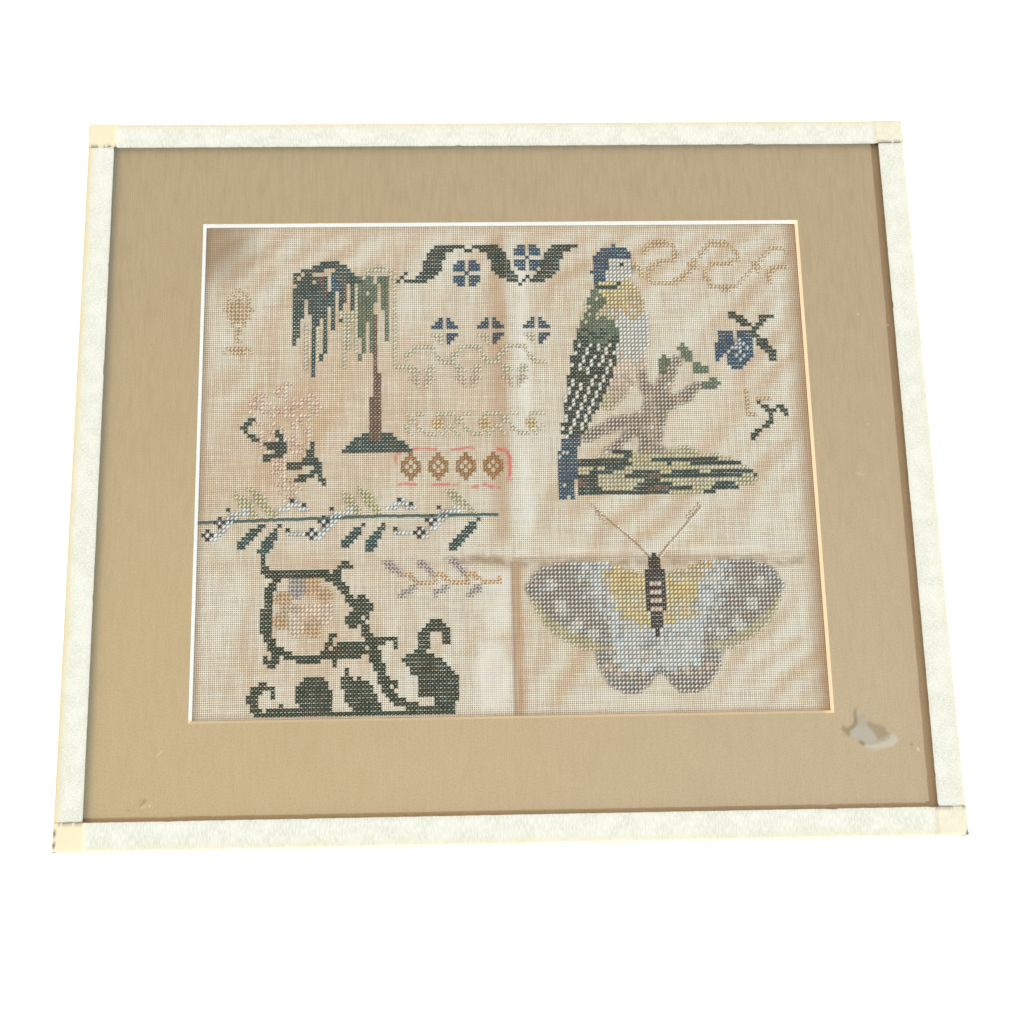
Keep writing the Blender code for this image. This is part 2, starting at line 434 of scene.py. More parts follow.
def fine_heights(x, y):
    """Ripples and the sharp crease lines, flat where the mat holds the cloth."""
    inset = np.minimum(
        np.minimum(x - WIN_LEFT, WIN_RIGHT - x),
        np.minimum(y - WIN_LOW, WIN_TOP - y),
    )
    free = ease((inset - HELD_EDGE) / FREE_EDGE)
    height = np.zeros_like(x)
    for row in RIPPLES:
        turn = math.radians(row["turn"])
        dx = x - row["x"] * MM
        dy = y - row["y"] * MM
        across = -dx * math.sin(turn) + dy * math.cos(turn)
        along = dx * math.cos(turn) + dy * math.sin(turn)
        bend = 0.25 * np.sin(along / (9.0 * MM)) + across / (row["pitch"] * MM)
        fade = np.exp(-(dx * dx + dy * dy) / (row["reach"] * MM) ** 2)
        height += RIPPLE_GAIN * row["height"] * MM * np.cos(2 * math.pi * bend) * fade
    above = np.tanh((y - CREASE_Y) / (4.0 * MM))
    wander = 0.8 * MM * np.sin(y / (31.0 * MM))
    upright = np.exp(-((x - CREASE_X - wander) / RIDGE_WIDTH) ** 2)
    level = np.exp(-((y - CREASE_Y - 0.5 * MM * np.sin(x / (27.0 * MM))) / GROOVE_WIDTH) ** 2)
    height += RIDGE_HEIGHT * upright * above - GROOVE_DEPTH * level
    return height * free


SHEET_XS, SHEET_YS = sheet_axes()
GRID_X, GRID_Y = np.meshgrid(SHEET_XS, SHEET_YS)
SHEET_Z = solid_heights(SHEET_XS, SHEET_YS) + fine_heights(GRID_X, GRID_Y)
SHEET_Z = np.minimum(SHEET_Z, TOP_LIMIT)
print("linen stands from", round(SHEET_Z.min() / MM, 2), "to", round(SHEET_Z.max() / MM, 2), "mm")


def height_at(x, y):
    """Height of the linen's face at a point, between the grid's values."""
    u = (x - SHEET_XS[0]) / (SHEET_XS[1] - SHEET_XS[0])
    v = (y - SHEET_YS[0]) / (SHEET_YS[1] - SHEET_YS[0])
    i = min(max(int(u), 0), len(SHEET_XS) - 2)
    j = min(max(int(v), 0), len(SHEET_YS) - 2)
    fu = u - i
    fv = v - j
    low = SHEET_Z[j, i] * (1 - fu) + SHEET_Z[j, i + 1] * fu
    high = SHEET_Z[j + 1, i] * (1 - fu) + SHEET_Z[j + 1, i + 1] * fu
    return low * (1 - fv) + high * fv


# %% [markdown]
# Linen is a plain weave: warp and weft pass over and under each other by turns. A thread is under
# a millimetre wide here, so the weave is in the finish and not in the mesh. Each thread has a
# lightness of its own that drifts along its length, which makes the streaks of hand-spun yarn. The
# small holes between crossings get painted shade, and the crowns of the crossings a painted highlight.

# %% Weave of the linen
WARP_PITCH = 0.93 * MM
WEFT_PITCH = 1.01 * MM


def thread_tone(f, across, along, seed):
    """Lightness of each thread, which drifts along its length: `across` counts threads."""
    row = across.math("FLOOR") * 3.7 + seed
    place = f.node("ShaderNodeCombineXYZ", None, {"X": row, "Y": along * 42.0})
    sockets = {"Vector": place, "Scale": 1.0, "Detail": 3.0, "Roughness": 0.62}
    return f.node("ShaderNodeTexNoise", {"noise_dimensions": "2D"}, sockets, "Fac")


def linen_finish():
    """Aged linen in plain weave, with stains, painted highlights and shade on the weave, the creases and the
    ripples, painted shade round the stitches, and a broken red outline.
    """
    f = Finish("aged_linen", 0.92)
    warp = f.x / WARP_PITCH
    weft = f.y / WEFT_PITCH
    warp_at = (warp.math("FRACT") - 0.5).math("ABSOLUTE") * 2.0
    weft_at = (weft.math("FRACT") - 0.5).math("ABSOLUTE") * 2.0
    parity = (warp.math("FLOOR") + weft.math("FLOOR")).math("MODULO", 2.0).math("ABSOLUTE")
    warp_tone = thread_tone(f, warp, f.y, 0.4)
    weft_tone = thread_tone(f, weft, f.x, 50.4)
    warp_lift = warp_at.rising(1.0, 0.35) * (0.62 + 0.38 * parity)
    weft_lift = weft_at.rising(1.0, 0.35) * (1.0 - 0.38 * parity)
    lift = warp_lift.math("MAXIMUM", weft_lift)
    slub = (warp_tone * warp_lift * 1.3 + weft_tone * weft_lift) / (warp_lift * 1.3 + weft_lift + 0.05)
    hole = lift.rising(0.88, 0.32)
    under = f.attribute("under")

    clouds = f.noise(17.0, 2.0, stretch=(1.0, 1.8, 1.0), turn=math.radians(-35), seed=0.4)
    # The tan wash is real browning by age and stains, plus painted shade in hollows and on ripple sides
    # turned from the light
    tan = (f.attribute("ripple_shade") * 0.36 + f.attribute("age") * 0.52 + clouds * 1.25).rising(0.16, 1.26)
    cloth = f.mix(tan, srgb(252, 244, 224), srgb(226, 180, 128))
    cloth = f.mix(slub.rising(0.47, 0.66) * 0.62, cloth, srgb(255, 253, 242))
    cloth = f.mix(slub.rising(0.5, 0.34) * 0.40, cloth, srgb(190, 152, 106))
    # Painted highlight on the crowns of the crossings, then painted shade in the holes between them
    cloth = f.mix(lift.rising(0.84, 1.0) * 0.46, cloth, srgb(255, 250, 234))
    cloth = f.mix(hole * 0.95, cloth, srgb(114, 86, 54))
    for mask, share, colour in linen_marks(f):
        cloth = f.mix(mask * share, cloth, colour)
    # Painted shade on the linen round and under the stitches
    cloth = f.mix(under.rising(0.15, 0.9) * 0.64, cloth, srgb(96, 88, 74))
    f.feed("Base Color", cloth)
    f.feed("Normal", f.bump(lift * 0.8 + slub * 0.4, 0.20 * MM, 0.9))
    return f.material


INCH = 25.4 * MM
print("threads to the inch:", round(INCH / WARP_PITCH, 1), "across,", round(INCH / WEFT_PITCH, 1), "along")

# %% [markdown]
# Age has left stains and a broken red outline round a row of ornament. The folds get painted shade and
# painted highlights, and the window's right and lower edges a painted shadow on the linen. All of these
# could be painted, but a few soft boxes and spots are easier to move: each is a mask, a strength and a
# colour, and the finish lays them on the linen in turn. Noise breaks up their edges.

# %% Stains, painted fold shade and the red line
def soft_box(f, left, right, low, high, soft, bend=None):
    """1 inside a rectangle given in millimetres, fading over `soft` at its edges, bent by noise."""
    x = f.x + bend if bend else f.x
    y = f.y + bend if bend else f.y
    a = x.rising((left - soft) * MM, (left + soft) * MM)
    b = x.rising((right + soft) * MM, (right - soft) * MM)
    c = y.rising((low - soft) * MM, (low + soft) * MM)
    d = y.rising((high + soft) * MM, (high - soft) * MM)
    return a * b * c * d


def soft_spot(f, x, y, radius, flat=1.0, turn=0.0):
    """1 in the middle of a spot given in millimetres, 0 at its radius; flat squeezes it, turned."""
    angle = math.radians(turn)
    dx = f.x - x * MM
    dy = f.y - y * MM
    along = dx * math.cos(angle) + dy * math.sin(angle)
    across = (dy * math.cos(angle) - dx * math.sin(angle)) / flat
    return (along * along + across * across).math("SQRT").rising(radius * MM, 0.2 * radius * MM)


# A broken line drawn in red, round a small row of ornament: left, right, low, high, in millimetres
RED_DASHES = (
    (-44.3, -31.3, 7.4, 8.6), (-25.9, -14.3, 7.2, 8.4), (-4.4, 1.2, 6.8, 8.4), (0.5, 2.3, -9.0, 7.4),
    (-51.4, -41.7, -10.3, -9.1), (-35.0, -22.3, -10.3, -9.1), (-16.0, -9.5, -11.3, -10.1),
    (-9.5, -2.5, -12.0, -10.9), (-52.5, -51.3, 0.2, 5.4), (-51.6, -49.6, 5.2, 6.8),
)


def linen_marks(f):
    """Stains, painted shade and highlights along the creases, painted shadow along the window's right and
    lower edges, darker bands along its left and top edges, and the red line, as mask, strength and colour.
    """
    ragged = f.noise(160.0, 3.0, seed=0.7).rising(0.35, 0.65)
    soft = f.noise(45.0, 2.0, seed=0.2).rising(0.30, 0.60)
    crease_shade = srgb(186, 134, 84)
    brown = srgb(142, 112, 80)
    white = srgb(255, 252, 244)
    bend = (f.noise(110.0, 2.0, seed=0.9) - 0.5) * (3.6 * MM)
    red = soft_box(f, *RED_DASHES[0], 0.80, bend)
    for dash in RED_DASHES[1:]:
        red = red.math("MAXIMUM", soft_box(f, *dash, 0.80, bend))
    red = red * f.noise(260.0, 2.0, seed=0.35).rising(0.30, 0.52)
    return (
        # Upright crease: painted shade on the flank turned from the light, painted highlight on the lit
        # flank, and a painted dark line in its lower groove
        (soft_box(f, -6, 1.5, -38, 118, 3.4), 0.42, crease_shade),
        (soft_box(f, 7.0, 13.0, -36, 100, 2.2) * soft, 0.42, white),
        (soft_box(f, -15, 0.5, -118, -52, 3.0) * soft, 0.45, white),
        (soft_box(f, 2.2, 6.0, -122, -48, 1.6), 0.52, crease_shade),
        (soft_box(f, 1.2, 2.6, -122, -48, 0.5), 0.45, brown),
        # Level crease: painted shade below it and along its line, and a painted highlight above it
        (soft_box(f, -6, 147, -51.5, -47.2, 1.8) * ragged, 0.50, brown),
        (soft_box(f, 2, 120, -46.8, -46.0, 0.5), 0.40, brown),
        (soft_box(f, 4, 130, -44.6, -41.5, 1.6) * soft, 0.30, white),
        (soft_box(f, -30, -2, -49, -44.5, 1.5) * ragged, 0.55, brown),
        (soft_spot(f, -142, 114, 32), 0.72, srgb(156, 124, 86)),
        (soft_box(f, -147, -142.5, -122, 124, 2.0), 0.50, brown),
        # Painted shadow that the mat's lower edge throws on the linen
        (soft_box(f, -147, 148, -123, -119.0, 2.0), 0.50, brown),
        # Painted shadow that the mat's right edge throws on the linen
        (f.x.rising(0.1365, 0.1465), 0.70, srgb(160, 116, 66)),
        (f.y.rising(0.1195, 0.1245), 0.25, brown),
        (red, 0.80, srgb(226, 88, 80)),
    )


print(len(RED_DASHES), "red dashes")

# %% [markdown]
# The sheet is a grid of points at the heights found above, closed underneath and round its rim. A
# plane with a displacement would bend the same way, but a closed sheet has a real edge and a real
# thickness. Each point also keeps how brown age has made it, and how much painted shade it gets in
# hollows and on the sides of ripples turned from the light.

# %% Linen sheet
LINEN_THICK = 0.6 * MM
# Plan direction away from the light, for the painted shade on the side of each ripple turned from it
SHADE_X = 0.81
SHADE_Y = -0.59

# Where age has browned the linen most, and where it stayed palest: middle, reach both ways, amount
AGE_SPOTS = (
    (-98, 55, 70, 75, 0.30),
    (-120, -15, 45, 40, 0.30),
    (-30, 15, 30, 60, 0.12),
    (12, 20, 16, 70, -0.38),
    (-40, -88, 60, 34, -0.05),
    (70, -85, 80, 40, -0.15),
    (60, -15, 70, 25, -0.10),
    (-142, -70, 14, 60, -0.15),
)


def age_values():
    """Broad browning by age at each grid point."""
    total = np.zeros_like(GRID_X)
    for x, y, reach_x, reach_y, amount in AGE_SPOTS:
        away = ((GRID_X - x * MM) / (reach_x * MM)) ** 2 + ((GRID_Y - y * MM) / (reach_y * MM)) ** 2
        total += amount * np.exp(-away)
    return total


def ripple_shade_values():
    """Painted shade at each grid point, in hollows and on sides turned from the light, about -1 to 1."""
    broad = blur(SHEET_Z, 120)
    slope_y, slope_x = np.gradient(blur(SHEET_Z, 3))
    hollow = (broad - SHEET_Z) / (0.40 * MM) + (slope_x * SHADE_X + slope_y * SHADE_Y) / (0.14 * MM)
    return blur(np.tanh(hollow), 4)


def make_linen():
    """The linen as one thin closed sheet on the heights above."""
    rows, cols = SHEET_Z.shape
    top = np.stack([GRID_X, GRID_Y, SHEET_Z], -1).reshape(-1, 3)
    count = len(top)
    points = np.concatenate([top, top - np.array([0, 0, LINEN_THICK])])
    faces = []
    for j in range(rows - 1):
        for i in range(cols - 1):
            a = j * cols + i
            quad = (a, a + 1, a + 1 + cols, a + cols)
            faces.append(quad)
            faces.append(tuple(count + v for v in reversed(quad)))
    rim = [j * cols + i for i, j in rim_of(0, cols - 1, 0, rows - 1)]
    for a, b in zip(rim, rim[1:] + rim[:1]):
        faces.append((a, count + a, count + b, b))
    piece = mesh_piece("linen", points, faces, [linen_finish()])
    for label, values in (("ripple_shade", ripple_shade_values()), ("age", age_values())):
        keep(piece.data, label, np.tile(values.reshape(-1), 2))
    return piece


linen = make_linen()
print("linen", len(linen.data.polygons), "faces")

# %% [markdown]
# A cross stitch covers two threads each way. The sewing is charted on that grid: columns run to the
# right from the window's left edge, rows run down from its top. Small motifs are drawn here as rows
# of letters, as in a pattern book, and large ones as outlines and strokes that pick out the squares
# they cover. No stitch is copied from the photo: the kinds, colours and places follow it.

# %% Charting tools
STITCH_W = 2 * WARP_PITCH
STITCH_H = 2 * WEFT_PITCH
SEWN_LEFT = WIN_LEFT + BEVEL
SEWN_TOP = WIN_TOP - BEVEL

# Red, green, blue, and how deep the painted shade in the gaps between its stitches is, which also sets silk's
# painted highlights: 0 for wool, more for silk
THREADS = {
    "green": (41, 65, 57, 0.0),
    "moss": (34, 55, 33, 0.0),
    "teal": (43, 76, 73, 0.0),
    "stem": (78, 102, 98, 0.0),
    "blue": (41, 80, 106, 0.0),
    "dark": (54, 50, 52, 0.0),
    "bark": (116, 90, 72, 0.0),
    "plum": (100, 76, 72, 0.0),
    "sage": (96, 115, 91, 0.0),
    "sky": (164, 176, 182, 0.8),
    "olive": (208, 196, 138, 0.6),
    "fade_olive": (214, 204, 168, 0.5),
    "gold": (226, 188, 108, 0.6),
    "yellow": (248, 220, 136, 0.75),
    "white": (255, 250, 238, 0.9),
    "pale": (238, 244, 244, 0.7),
    "slate": (192, 199, 196, 0.9),
    "ash": (166, 150, 138, 1.0),
    "brown": (164, 132, 98, 0.9),
    "nut": (170, 122, 70, 0.0),
    "fade_nut": (212, 184, 156, 0.4),
    "pink": (238, 212, 190, 0.3),
    "fade_pink": (226, 184, 158, 0.3),
    "tan": (216, 177, 122, 0.45),
    "orange": (218, 172, 112, 0.4),
    "straw": (182, 146, 108, 0.0),
    "mauve": (166, 148, 150, 0.5),
}


THIN_STROKE = 1.2


def square_place(col, row):
    """Middle of a chart's square on the linen."""
    return SEWN_LEFT + (col + 0.5) * STITCH_W, SEWN_TOP - (row + 0.5) * STITCH_H


class Chart:
    """Squares of one motif, each with the name of its thread."""

    def __init__(self, name):
        self.name = name
        self.squares = {}

    def put(self, col, row, thread):
        """Sew one square; thread is a name, a function of the square, or None for bare linen."""
        if callable(thread):
            thread = thread(col, row)
        if thread:
            self.squares[(round(col), round(row))] = thread

    def rows(self, col, row, drawing, threads):
        """A hand chart: one letter per stitch, its top left corner at col, row."""
        for j, line in enumerate(drawing):
            for i, letter in enumerate(line):
                if letter in threads:
                    self.put(col + i, row + j, threads[letter])

    def outline(self, points, thread):
        """Fill a closed outline."""
        cols = [p[0] for p in points]
        rows = [p[1] for p in points]
        for col in range(math.floor(min(cols)), math.ceil(max(cols)) + 1):
            for row in range(math.floor(min(rows)), math.ceil(max(rows)) + 1):
                if inside(points, col, row):
                    self.put(col, row, thread)

    def oval(self, col, row, half_w, half_h, thread, turn=0.0):
        """Fill an oval, its long axis turned in degrees."""
        angle = math.radians(turn)
        reach = math.ceil(max(half_w, half_h))
        for i in range(math.floor(col) - reach, math.ceil(col) + reach + 1):
            for j in range(math.floor(row) - reach, math.ceil(row) + reach + 1):
                du = (i - col) * math.cos(angle) + (j - row) * math.sin(angle)
                dv = (j - row) * math.cos(angle) - (i - col) * math.sin(angle)
                if (du / half_w) ** 2 + (dv / half_h) ** 2 <= 1:
                    self.put(i, j, thread)

    def stroke(self, points, thread):
        """A curved stroke through (col, row, width) points; with no width it is one stitch wide."""
        for col, row, width in curve_through([(*point, 1)[:3] for point in points]):
            half = width / 2
            reach = 0 if width <= THIN_STROKE else math.ceil(half)
            for i in range(round(col) - reach, round(col) + reach + 1):
                for j in range(round(row) - reach, round(row) + reach + 1):
                    if reach == 0 or (i - col) ** 2 + (j - row) ** 2 <= half**2:
                        self.put(i, j, thread)


def inside(points, col, row):
    """True if the square's middle lies within the closed outline."""
    within = False
    for (x0, y0), (x1, y1) in zip(points, points[1:] + points[:1]):
        if (y0 > row) != (y1 > row) and col < x0 + (row - y0) * (x1 - x0) / (y1 - y0):
            within = not within
    return within


def shade(col, row, seed=0.0):
    """A number between about -1 and 1 that makes neighbouring squares differ a little."""
    return wobble(col * 0.37, row * 0.37, seed) + 0.7 * wobble(col * 1.3, row * 1.3, seed)


def between(p, q, r, s, t):
    """Share t of the way from q to r, on the smooth curve (Catmull-Rom) that p and s bend."""
    return 0.5 * (2 * q + (r - p) * t + (2 * p - 5 * q + 4 * r - s) * t**2 + (3 * q - p - 3 * r + s) * t**3)


def curve_through(points):
    """Close points along a smooth curve through hand-set ones."""
    ends = [points[0], *points, points[-1]]
    for a, b, c, d in zip(ends, ends[1:], ends[2:], ends[3:]):
        steps = max(8, round(2.5 * math.dist(b[:2], c[:2])))
        for k in range(steps):
            yield tuple(between(*four, k / steps) for four in zip(a, b, c, d))
    yield tuple(points[-1])


CHARTS = []


def charted(maker):
    """Run a motif's function on a new chart and keep the result."""
    chart = Chart(maker.__name__)
    maker(chart)
    CHARTS.append(chart)
    print(chart.name, len(chart.squares), "squares")


print(len(THREADS), "threads, one stitch is", round(STITCH_W / MM, 2), "by", round(STITCH_H / MM, 2), "mm")


# %% [markdown]
# The small motifs: borders and sprigs that sampler makers shared for centuries. The garland's leaves
# swell on the slopes of a wave, with a four-petal flower in each hollow.

# %% Borders and small flowers
FOUR_PETALS = (
    ".bb.bb.",
    "bbb.bbb",
    "bbb.bbb",
    "...b...",
    "bbb.bbb",
    "bbb.bbb",
    ".bb.bb.",
)
THREE_PETALS = (
    "..b.b..",
    ".bb.bb.",
    "bbb.bbb",
    ".......",
    "ooo.bbb",
    ".oo.bb.",
    "..o.b..",
)
FAINT_FLOWER = (
    "oo...oo",
    "ooo.ooo",
    ".o...o.",
    "nnn.nnn",
    ".nn.nn.",
    "..n.n..",
)
LATTICE = (
    "o..oo...oooo",
    ".oo.....g...",
    ".oo....ggg..",
    "o..o...ggg.o",
    "o..oo...g.o.",
    ".o...ooo.o..",
)
LOZENGE = (
    "..n..",
    ".nnn.",
    "nn.nn",
    "n...n",
    "nn.nn",
    ".nnn.",
    "..n..",
)
CLIPPED_TREE = (
    "...tt...",
    "..t..t..",
    ".t.tt.t.",
    ".t.tt.t.",
    ".tttttt.",
    "tttttttt",
    ".tttttt.",
    ".tttttt.",
    "..tttt..",
    "..t..t..",
    "...tt...",
    "...tt...",
    "...t....",
    "...tt...",
    "........",
    ".tttttt.",
    "t.tttt.t",
)
SWELLING_LEAF = (
    ".....ggggggg",
    "....gggggg..",
    "...ggggg....",
    "...ggggg....",
    "..ggggg.....",
    "..ggggg.....",
    "..ggggg.....",
    ".ggggg......",
    "ggggg.......",
    "ggg.........",
)


def garland(chart):
    """Leaves that swell along a wave, with a flower in each hollow."""
    threads = {"g": "green"}
    chart.rows(55, 5, SWELLING_LEAF, threads)
    chart.rows(70, 5, [line[::-1] for line in SWELLING_LEAF], threads)
    chart.rows(86, 5, SWELLING_LEAF, threads)
    links = (
        (54, 14), (53, 14), (52, 14), (51, 13), (50, 14), (52, 12),
        (67, 5), (68, 6), (69, 6), (70, 5), (82, 15), (83, 14), (84, 13), (85, 14),
    )
    for square in links:
        chart.put(*square, "green")
    chart.rows(65, 9, FOUR_PETALS, {"b": "blue"})
    chart.rows(81, 5, FOUR_PETALS, {"b": "blue"})


def flower_row(chart):
    """Three small flowers, each under an arch that has faded, with a fainter one below."""
    for col in (59, 71, 83):
        chart.rows(col, 24, THREE_PETALS, {"b": "blue", "o": "fade_olive"})
        arch = ((-7.2, 34.4), (-5.6, 32), (-4, 31), (-1, 31), (0.8, 33), (2, 34.6), (5, 34.8))
        chart.stroke([(col + u, row) for u, row in arch], "fade_olive")
        chart.rows(col - 6, 36, FAINT_FLOWER, {"n": "fade_nut", "o": "fade_olive"})


def lattice_band(chart):
    """A band of crossings and gold diamonds."""
    for col in (52, 64, 76):
        chart.rows(col, 48, LATTICE, {"o": "fade_olive", "g": "gold"})


def lozenge_row(chart):
    """A plain brown ornament inside the red outline."""
    for col in (51, 58, 65, 72):
        chart.rows(col, 58, LOZENGE, {"n": "nut"})
        chart.put(col + 2, 61, "nut")


def topiary(chart):
    """A clipped tree in faded tan, almost gone."""
    chart.rows(5, 16, CLIPPED_TREE, {"t": "tan"})


def gold_scroll(chart):
    """A wave of loops with a knot in each bend, in faded gold."""
    loop = (
        (114.6, 7.4), (116.4, 5), (119, 4), (122, 4.8), (123.6, 7.4), (122, 9.2), (118.4, 9.6), (116.4, 11),
        (115.8, 13.2), (117.2, 14.8), (120, 15), (123.4, 14.4), (126.4, 12.5), (128.4, 9.8), (131.3, 6.3),
    )
    second = (
        (131.3, 6.3), (133, 4.4), (135.4, 4), (138, 5), (139.8, 8), (137.6, 9.8), (133.6, 10), (131.6, 11.4),
        (131.4, 13.8), (133, 16), (136.7, 16.8), (140, 15), (143, 11.8), (145, 10), (147.6, 7.4),
        (150, 6), (153, 6.6),
    )
    for line in (loop, second, ((153, 11), (149.6, 11), (148, 12.6), (148.2, 15))):
        chart.stroke(line, "tan")
    for col, row in ((119, 5), (135.4, 5), (136.5, 15.8)):
        chart.stroke([(col - 2.4, row), (col + 2.4, row)], "tan")
    for col, row in ((128, 10.4), (144.6, 10.6)):
        chart.oval(col, row, 1.5, 1.5, "tan")


for motif in (topiary, gold_scroll, garland, flower_row, lattice_band, lozenge_row):
    charted(motif)

# %% [markdown]
# A weeping willow on its mound. On the real linen its fronds are strips that narrow as they hang, so
# they are kept as a table of strips, with a few curved strokes for the boughs and the trunk. Drawing
# each square by hand would take a page of letters and be harder to move.

# %% Willow
# Fronds of the willow: place at the top, place at the foot, width at the top, thread
FRONDS = (
    (24.8, 12, 23.4, 30, 5.2, "teal"),
    (29.2, 13, 27.6, 38, 4.7, "teal"),
    (31.4, 17, 30.4, 34, 2.0, "teal"),
    (33.4, 12, 32.6, 26, 2.2, "teal"),
    (35.8, 12, 35.0, 24, 2.0, "teal"),
    (38.0, 13, 37.8, 23, 2.2, "teal"),
    (26.4, 25, 26.2, 36, 1.0, "fade_olive"),
    (29.4, 26, 29.2, 34, 1.0, "fade_olive"),
    (36.6, 22, 36.2, 36, 3.4, "fade_olive"),
    (39.2, 16, 39.2, 32, 1.0, "fade_olive"),
    (41.6, 13, 40.4, 34, 3.8, "sage"),
    (43.4, 15, 43.0, 32, 1.8, "sage"),
    (46.2, 13, 47.2, 29, 2.8, "sage"),
    (49.0, 14, 48.8, 36, 1.4, "fade_olive"),
)


def frond(chart, col, row, foot_col, foot_row, width, thread):
    """A hanging strip that narrows to one stitch at its foot."""
    for k in range(row, foot_row + 1):
        share = (k - row) / (foot_row - row)
        middle = col + (foot_col - col) * share
        half = max(width * (1 - 0.85 * share) / 2, 0.5)
        for i in range(math.ceil(middle - half), math.ceil(middle + half)):
            chart.put(i, k, thread)


def willow(chart):
    """Fronds, boughs, trunk and mound."""
    for row in FRONDS:
        frond(chart, *row)
    for points, thread in (
        (((30, 13, 1), (31, 18, 1)), "plum"),
        (((36.4, 12.6, 1), (36.2, 19, 1)), "plum"),
        (((33, 13, 1), (33.6, 16, 1.6)), "blue"),
        (((24, 12, 1.6), (27, 11.2, 2), (29.4, 10.2, 2), (32.4, 9.6, 2), (35.4, 10.6, 2), (38, 12.4, 2),
          (39.6, 14, 1)), "teal"),
        (((41, 12.8, 1.6), (43, 11, 1.6), (45.4, 10.4, 1.6), (47.8, 11.6, 1.6), (49, 14, 1)), "fade_olive"),
        (((49, 36, 1), (52, 36, 1)), "fade_olive"),
        (((44.4, 23, 1), (44.5, 38, 1)), "bark"),
        (((44.2, 38, 2.0), (44, 46, 2.2), (44, 54, 2.8)), "bark"),
    ):
        chart.stroke(points, thread)
    for square in ((24, 13), (25, 12), (23, 15), (28, 14), (42, 17)):
        chart.squares.pop(square, None)
    mound = (
        (34.4, 57.7), (36.8, 55.8), (39.0, 53.6), (41.6, 52.4), (43, 52.4), (43, 54.4), (45.6, 54.4),
        (45.6, 52.4), (47.6, 52.6), (50.6, 54.4), (53.9, 57.7),
    )
    chart.outline(mound, lambda col, row: "teal" if shade(col, row, 9.0) < 0.5 else "sage")


print(len(FRONDS), "fronds")

# %% [markdown]
# A carnation and a vine. Much of the carnation's pink silk has worn away, which a rule that leaves out
# some squares shows better than a hand chart would. The vine's leaves and petals are short strokes on
# either side of a laid thread, which comes later, and its berries are sewn on top of the petals.

# %% Carnation and vine
def petal_thread(col, row):
    """Pink silk of which part has worn away."""
    if shade(col, row, 4.0) < -0.22 or (col + 2 * row) % 4 == 0:
        return None
    return "fade_pink" if (col * row) % 3 else "pink"


def carnation(chart):
    """A big flower in pink silk that has faded into the linen, with green leaves."""
    petals = (
        (15.2, 46.6, 3.6, 4.6, -24), (21.0, 43.8, 3.4, 4.4, 0), (26.6, 46.8, 3.6, 4.6, 24),
        (17.4, 54.0, 3.4, 4.6, 18), (24.2, 54.0, 3.4, 4.6, -18), (19.6, 61.4, 2.4, 4.2, 0),
        (22.6, 66.6, 3.4, 3.0, 0),
    )
    for col, row, half_w, half_h, turn in petals:
        chart.oval(col, row, half_w, half_h, petal_thread, turn)
    leaves = (
        ((13.7, 53.9, 1), (11.6, 52.6, 1.4), (10.8, 51, 1.4), (12.8, 49.1, 1)),
        ((9.7, 50.6, 1), (10.8, 51.6, 1)),
        ((16, 55.2, 1.2), (19.5, 56, 2), (21, 56.4, 2)),
        ((19.4, 52.5, 1), (20.2, 54.4, 1.6), (21, 56.3, 2)),
        ((16.4, 58.6, 1.6), (20, 57.2, 1.6)),
        ((21.8, 60.7, 1.6), (25.7, 60, 2), (28.2, 59.8, 2)),
        ((28.2, 55.4, 1), (27.6, 58, 2), (29.3, 60.6, 2.2), (30.2, 62.6, 1.4), (30.6, 64.6, 1)),
        ((24.7, 63.8, 1.6), (28.3, 62.3, 1.4)),
    )
    for points in leaves:
        chart.stroke(points, "green")


BERRY = (
    ".d.",
    "dwd",
    ".d.",
)


def worn_white(col, row):
    """White silk with greyed stitches among it."""
    mixed = shade(col, row, 21.0)
    return "pale" if mixed > -0.25 else "slate" if mixed > -0.8 else None


def vine_leaf(chart, thread, widths, widest, col, row, run, fall):
    """A leaf that runs from one end to the other, widest at a share of its length."""
    middle = (col + run * widest, row + fall * widest)
    chart.stroke([(col, row, widths[0]), (*middle, widths[1]), (col + run, row + fall, widths[2])], thread)


def vine(chart):
    """Leaves above and below the stem, worn white petals, and dark berries on them."""
    for leaf in (
        (9, 67.4, 5, 5), (12.6, 66, 6, 6.4), (35.8, 67, 4, 5.2), (39.8, 66, 5.4, 6.2), (62.6, 66.8, 6.2, 5.2),
    ):
        vine_leaf(chart, "olive", (1.4, 2.4, 1.6), 0.4, *leaf)
    for leaf in (
        (15.8, 74.8, -5.6, 5), (19.8, 75.2, -4, 6), (41.2, 74.8, -5, 5.2), (46.4, 74.6, -4.2, 6),
        (70, 74, -6.8, 6.8),
    ):
        vine_leaf(chart, "teal", (1, 2.4, 2), 0.6, *leaf)
    for col in (22, 49):
        chart.stroke([(col, 76.8, 1), (col + 5, 77, 1.8), (col + 7, 76.8, 1.8)], worn_white)
        chart.stroke([(col - 1.6, 71.4, 1.4), (col + 1.4, 69.8, 1.8), (col + 4.4, 70.8, 1.4)], worn_white)
    for col in (4, 30, 57):
        petal = ((-0.6, 78, 1.4), (2.6, 75, 1.8), (4, 72.6, 1.8), (8, 71.4, 1.4))
        chart.stroke([(col + u, row, width) for u, row, width in petal], worn_white)
        chart.rows(col - 3, 76, BERRY, {"d": "dark", "w": "white"})
        chart.rows(col, 73, BERRY, {"d": "dark", "w": "white"})
        chart.put(col + 3, 71, "dark")
    for col in (22, 49):
        for u, row in ((0, 76), (0.6, 69), (4.4, 70)):
            chart.put(col + u, row, "dark")


print("berry of", "".join(BERRY).count("d"), "dark stitches")

# %% [markdown]
# The scrolls are the boldest sewing on the linen: thick curved strokes in dark wool round a rose whose
# orange and pink silks have faded. A smooth curve through a few points, stamped with a round brush,
# gives the stepped edges that cross stitch makes of a curve.

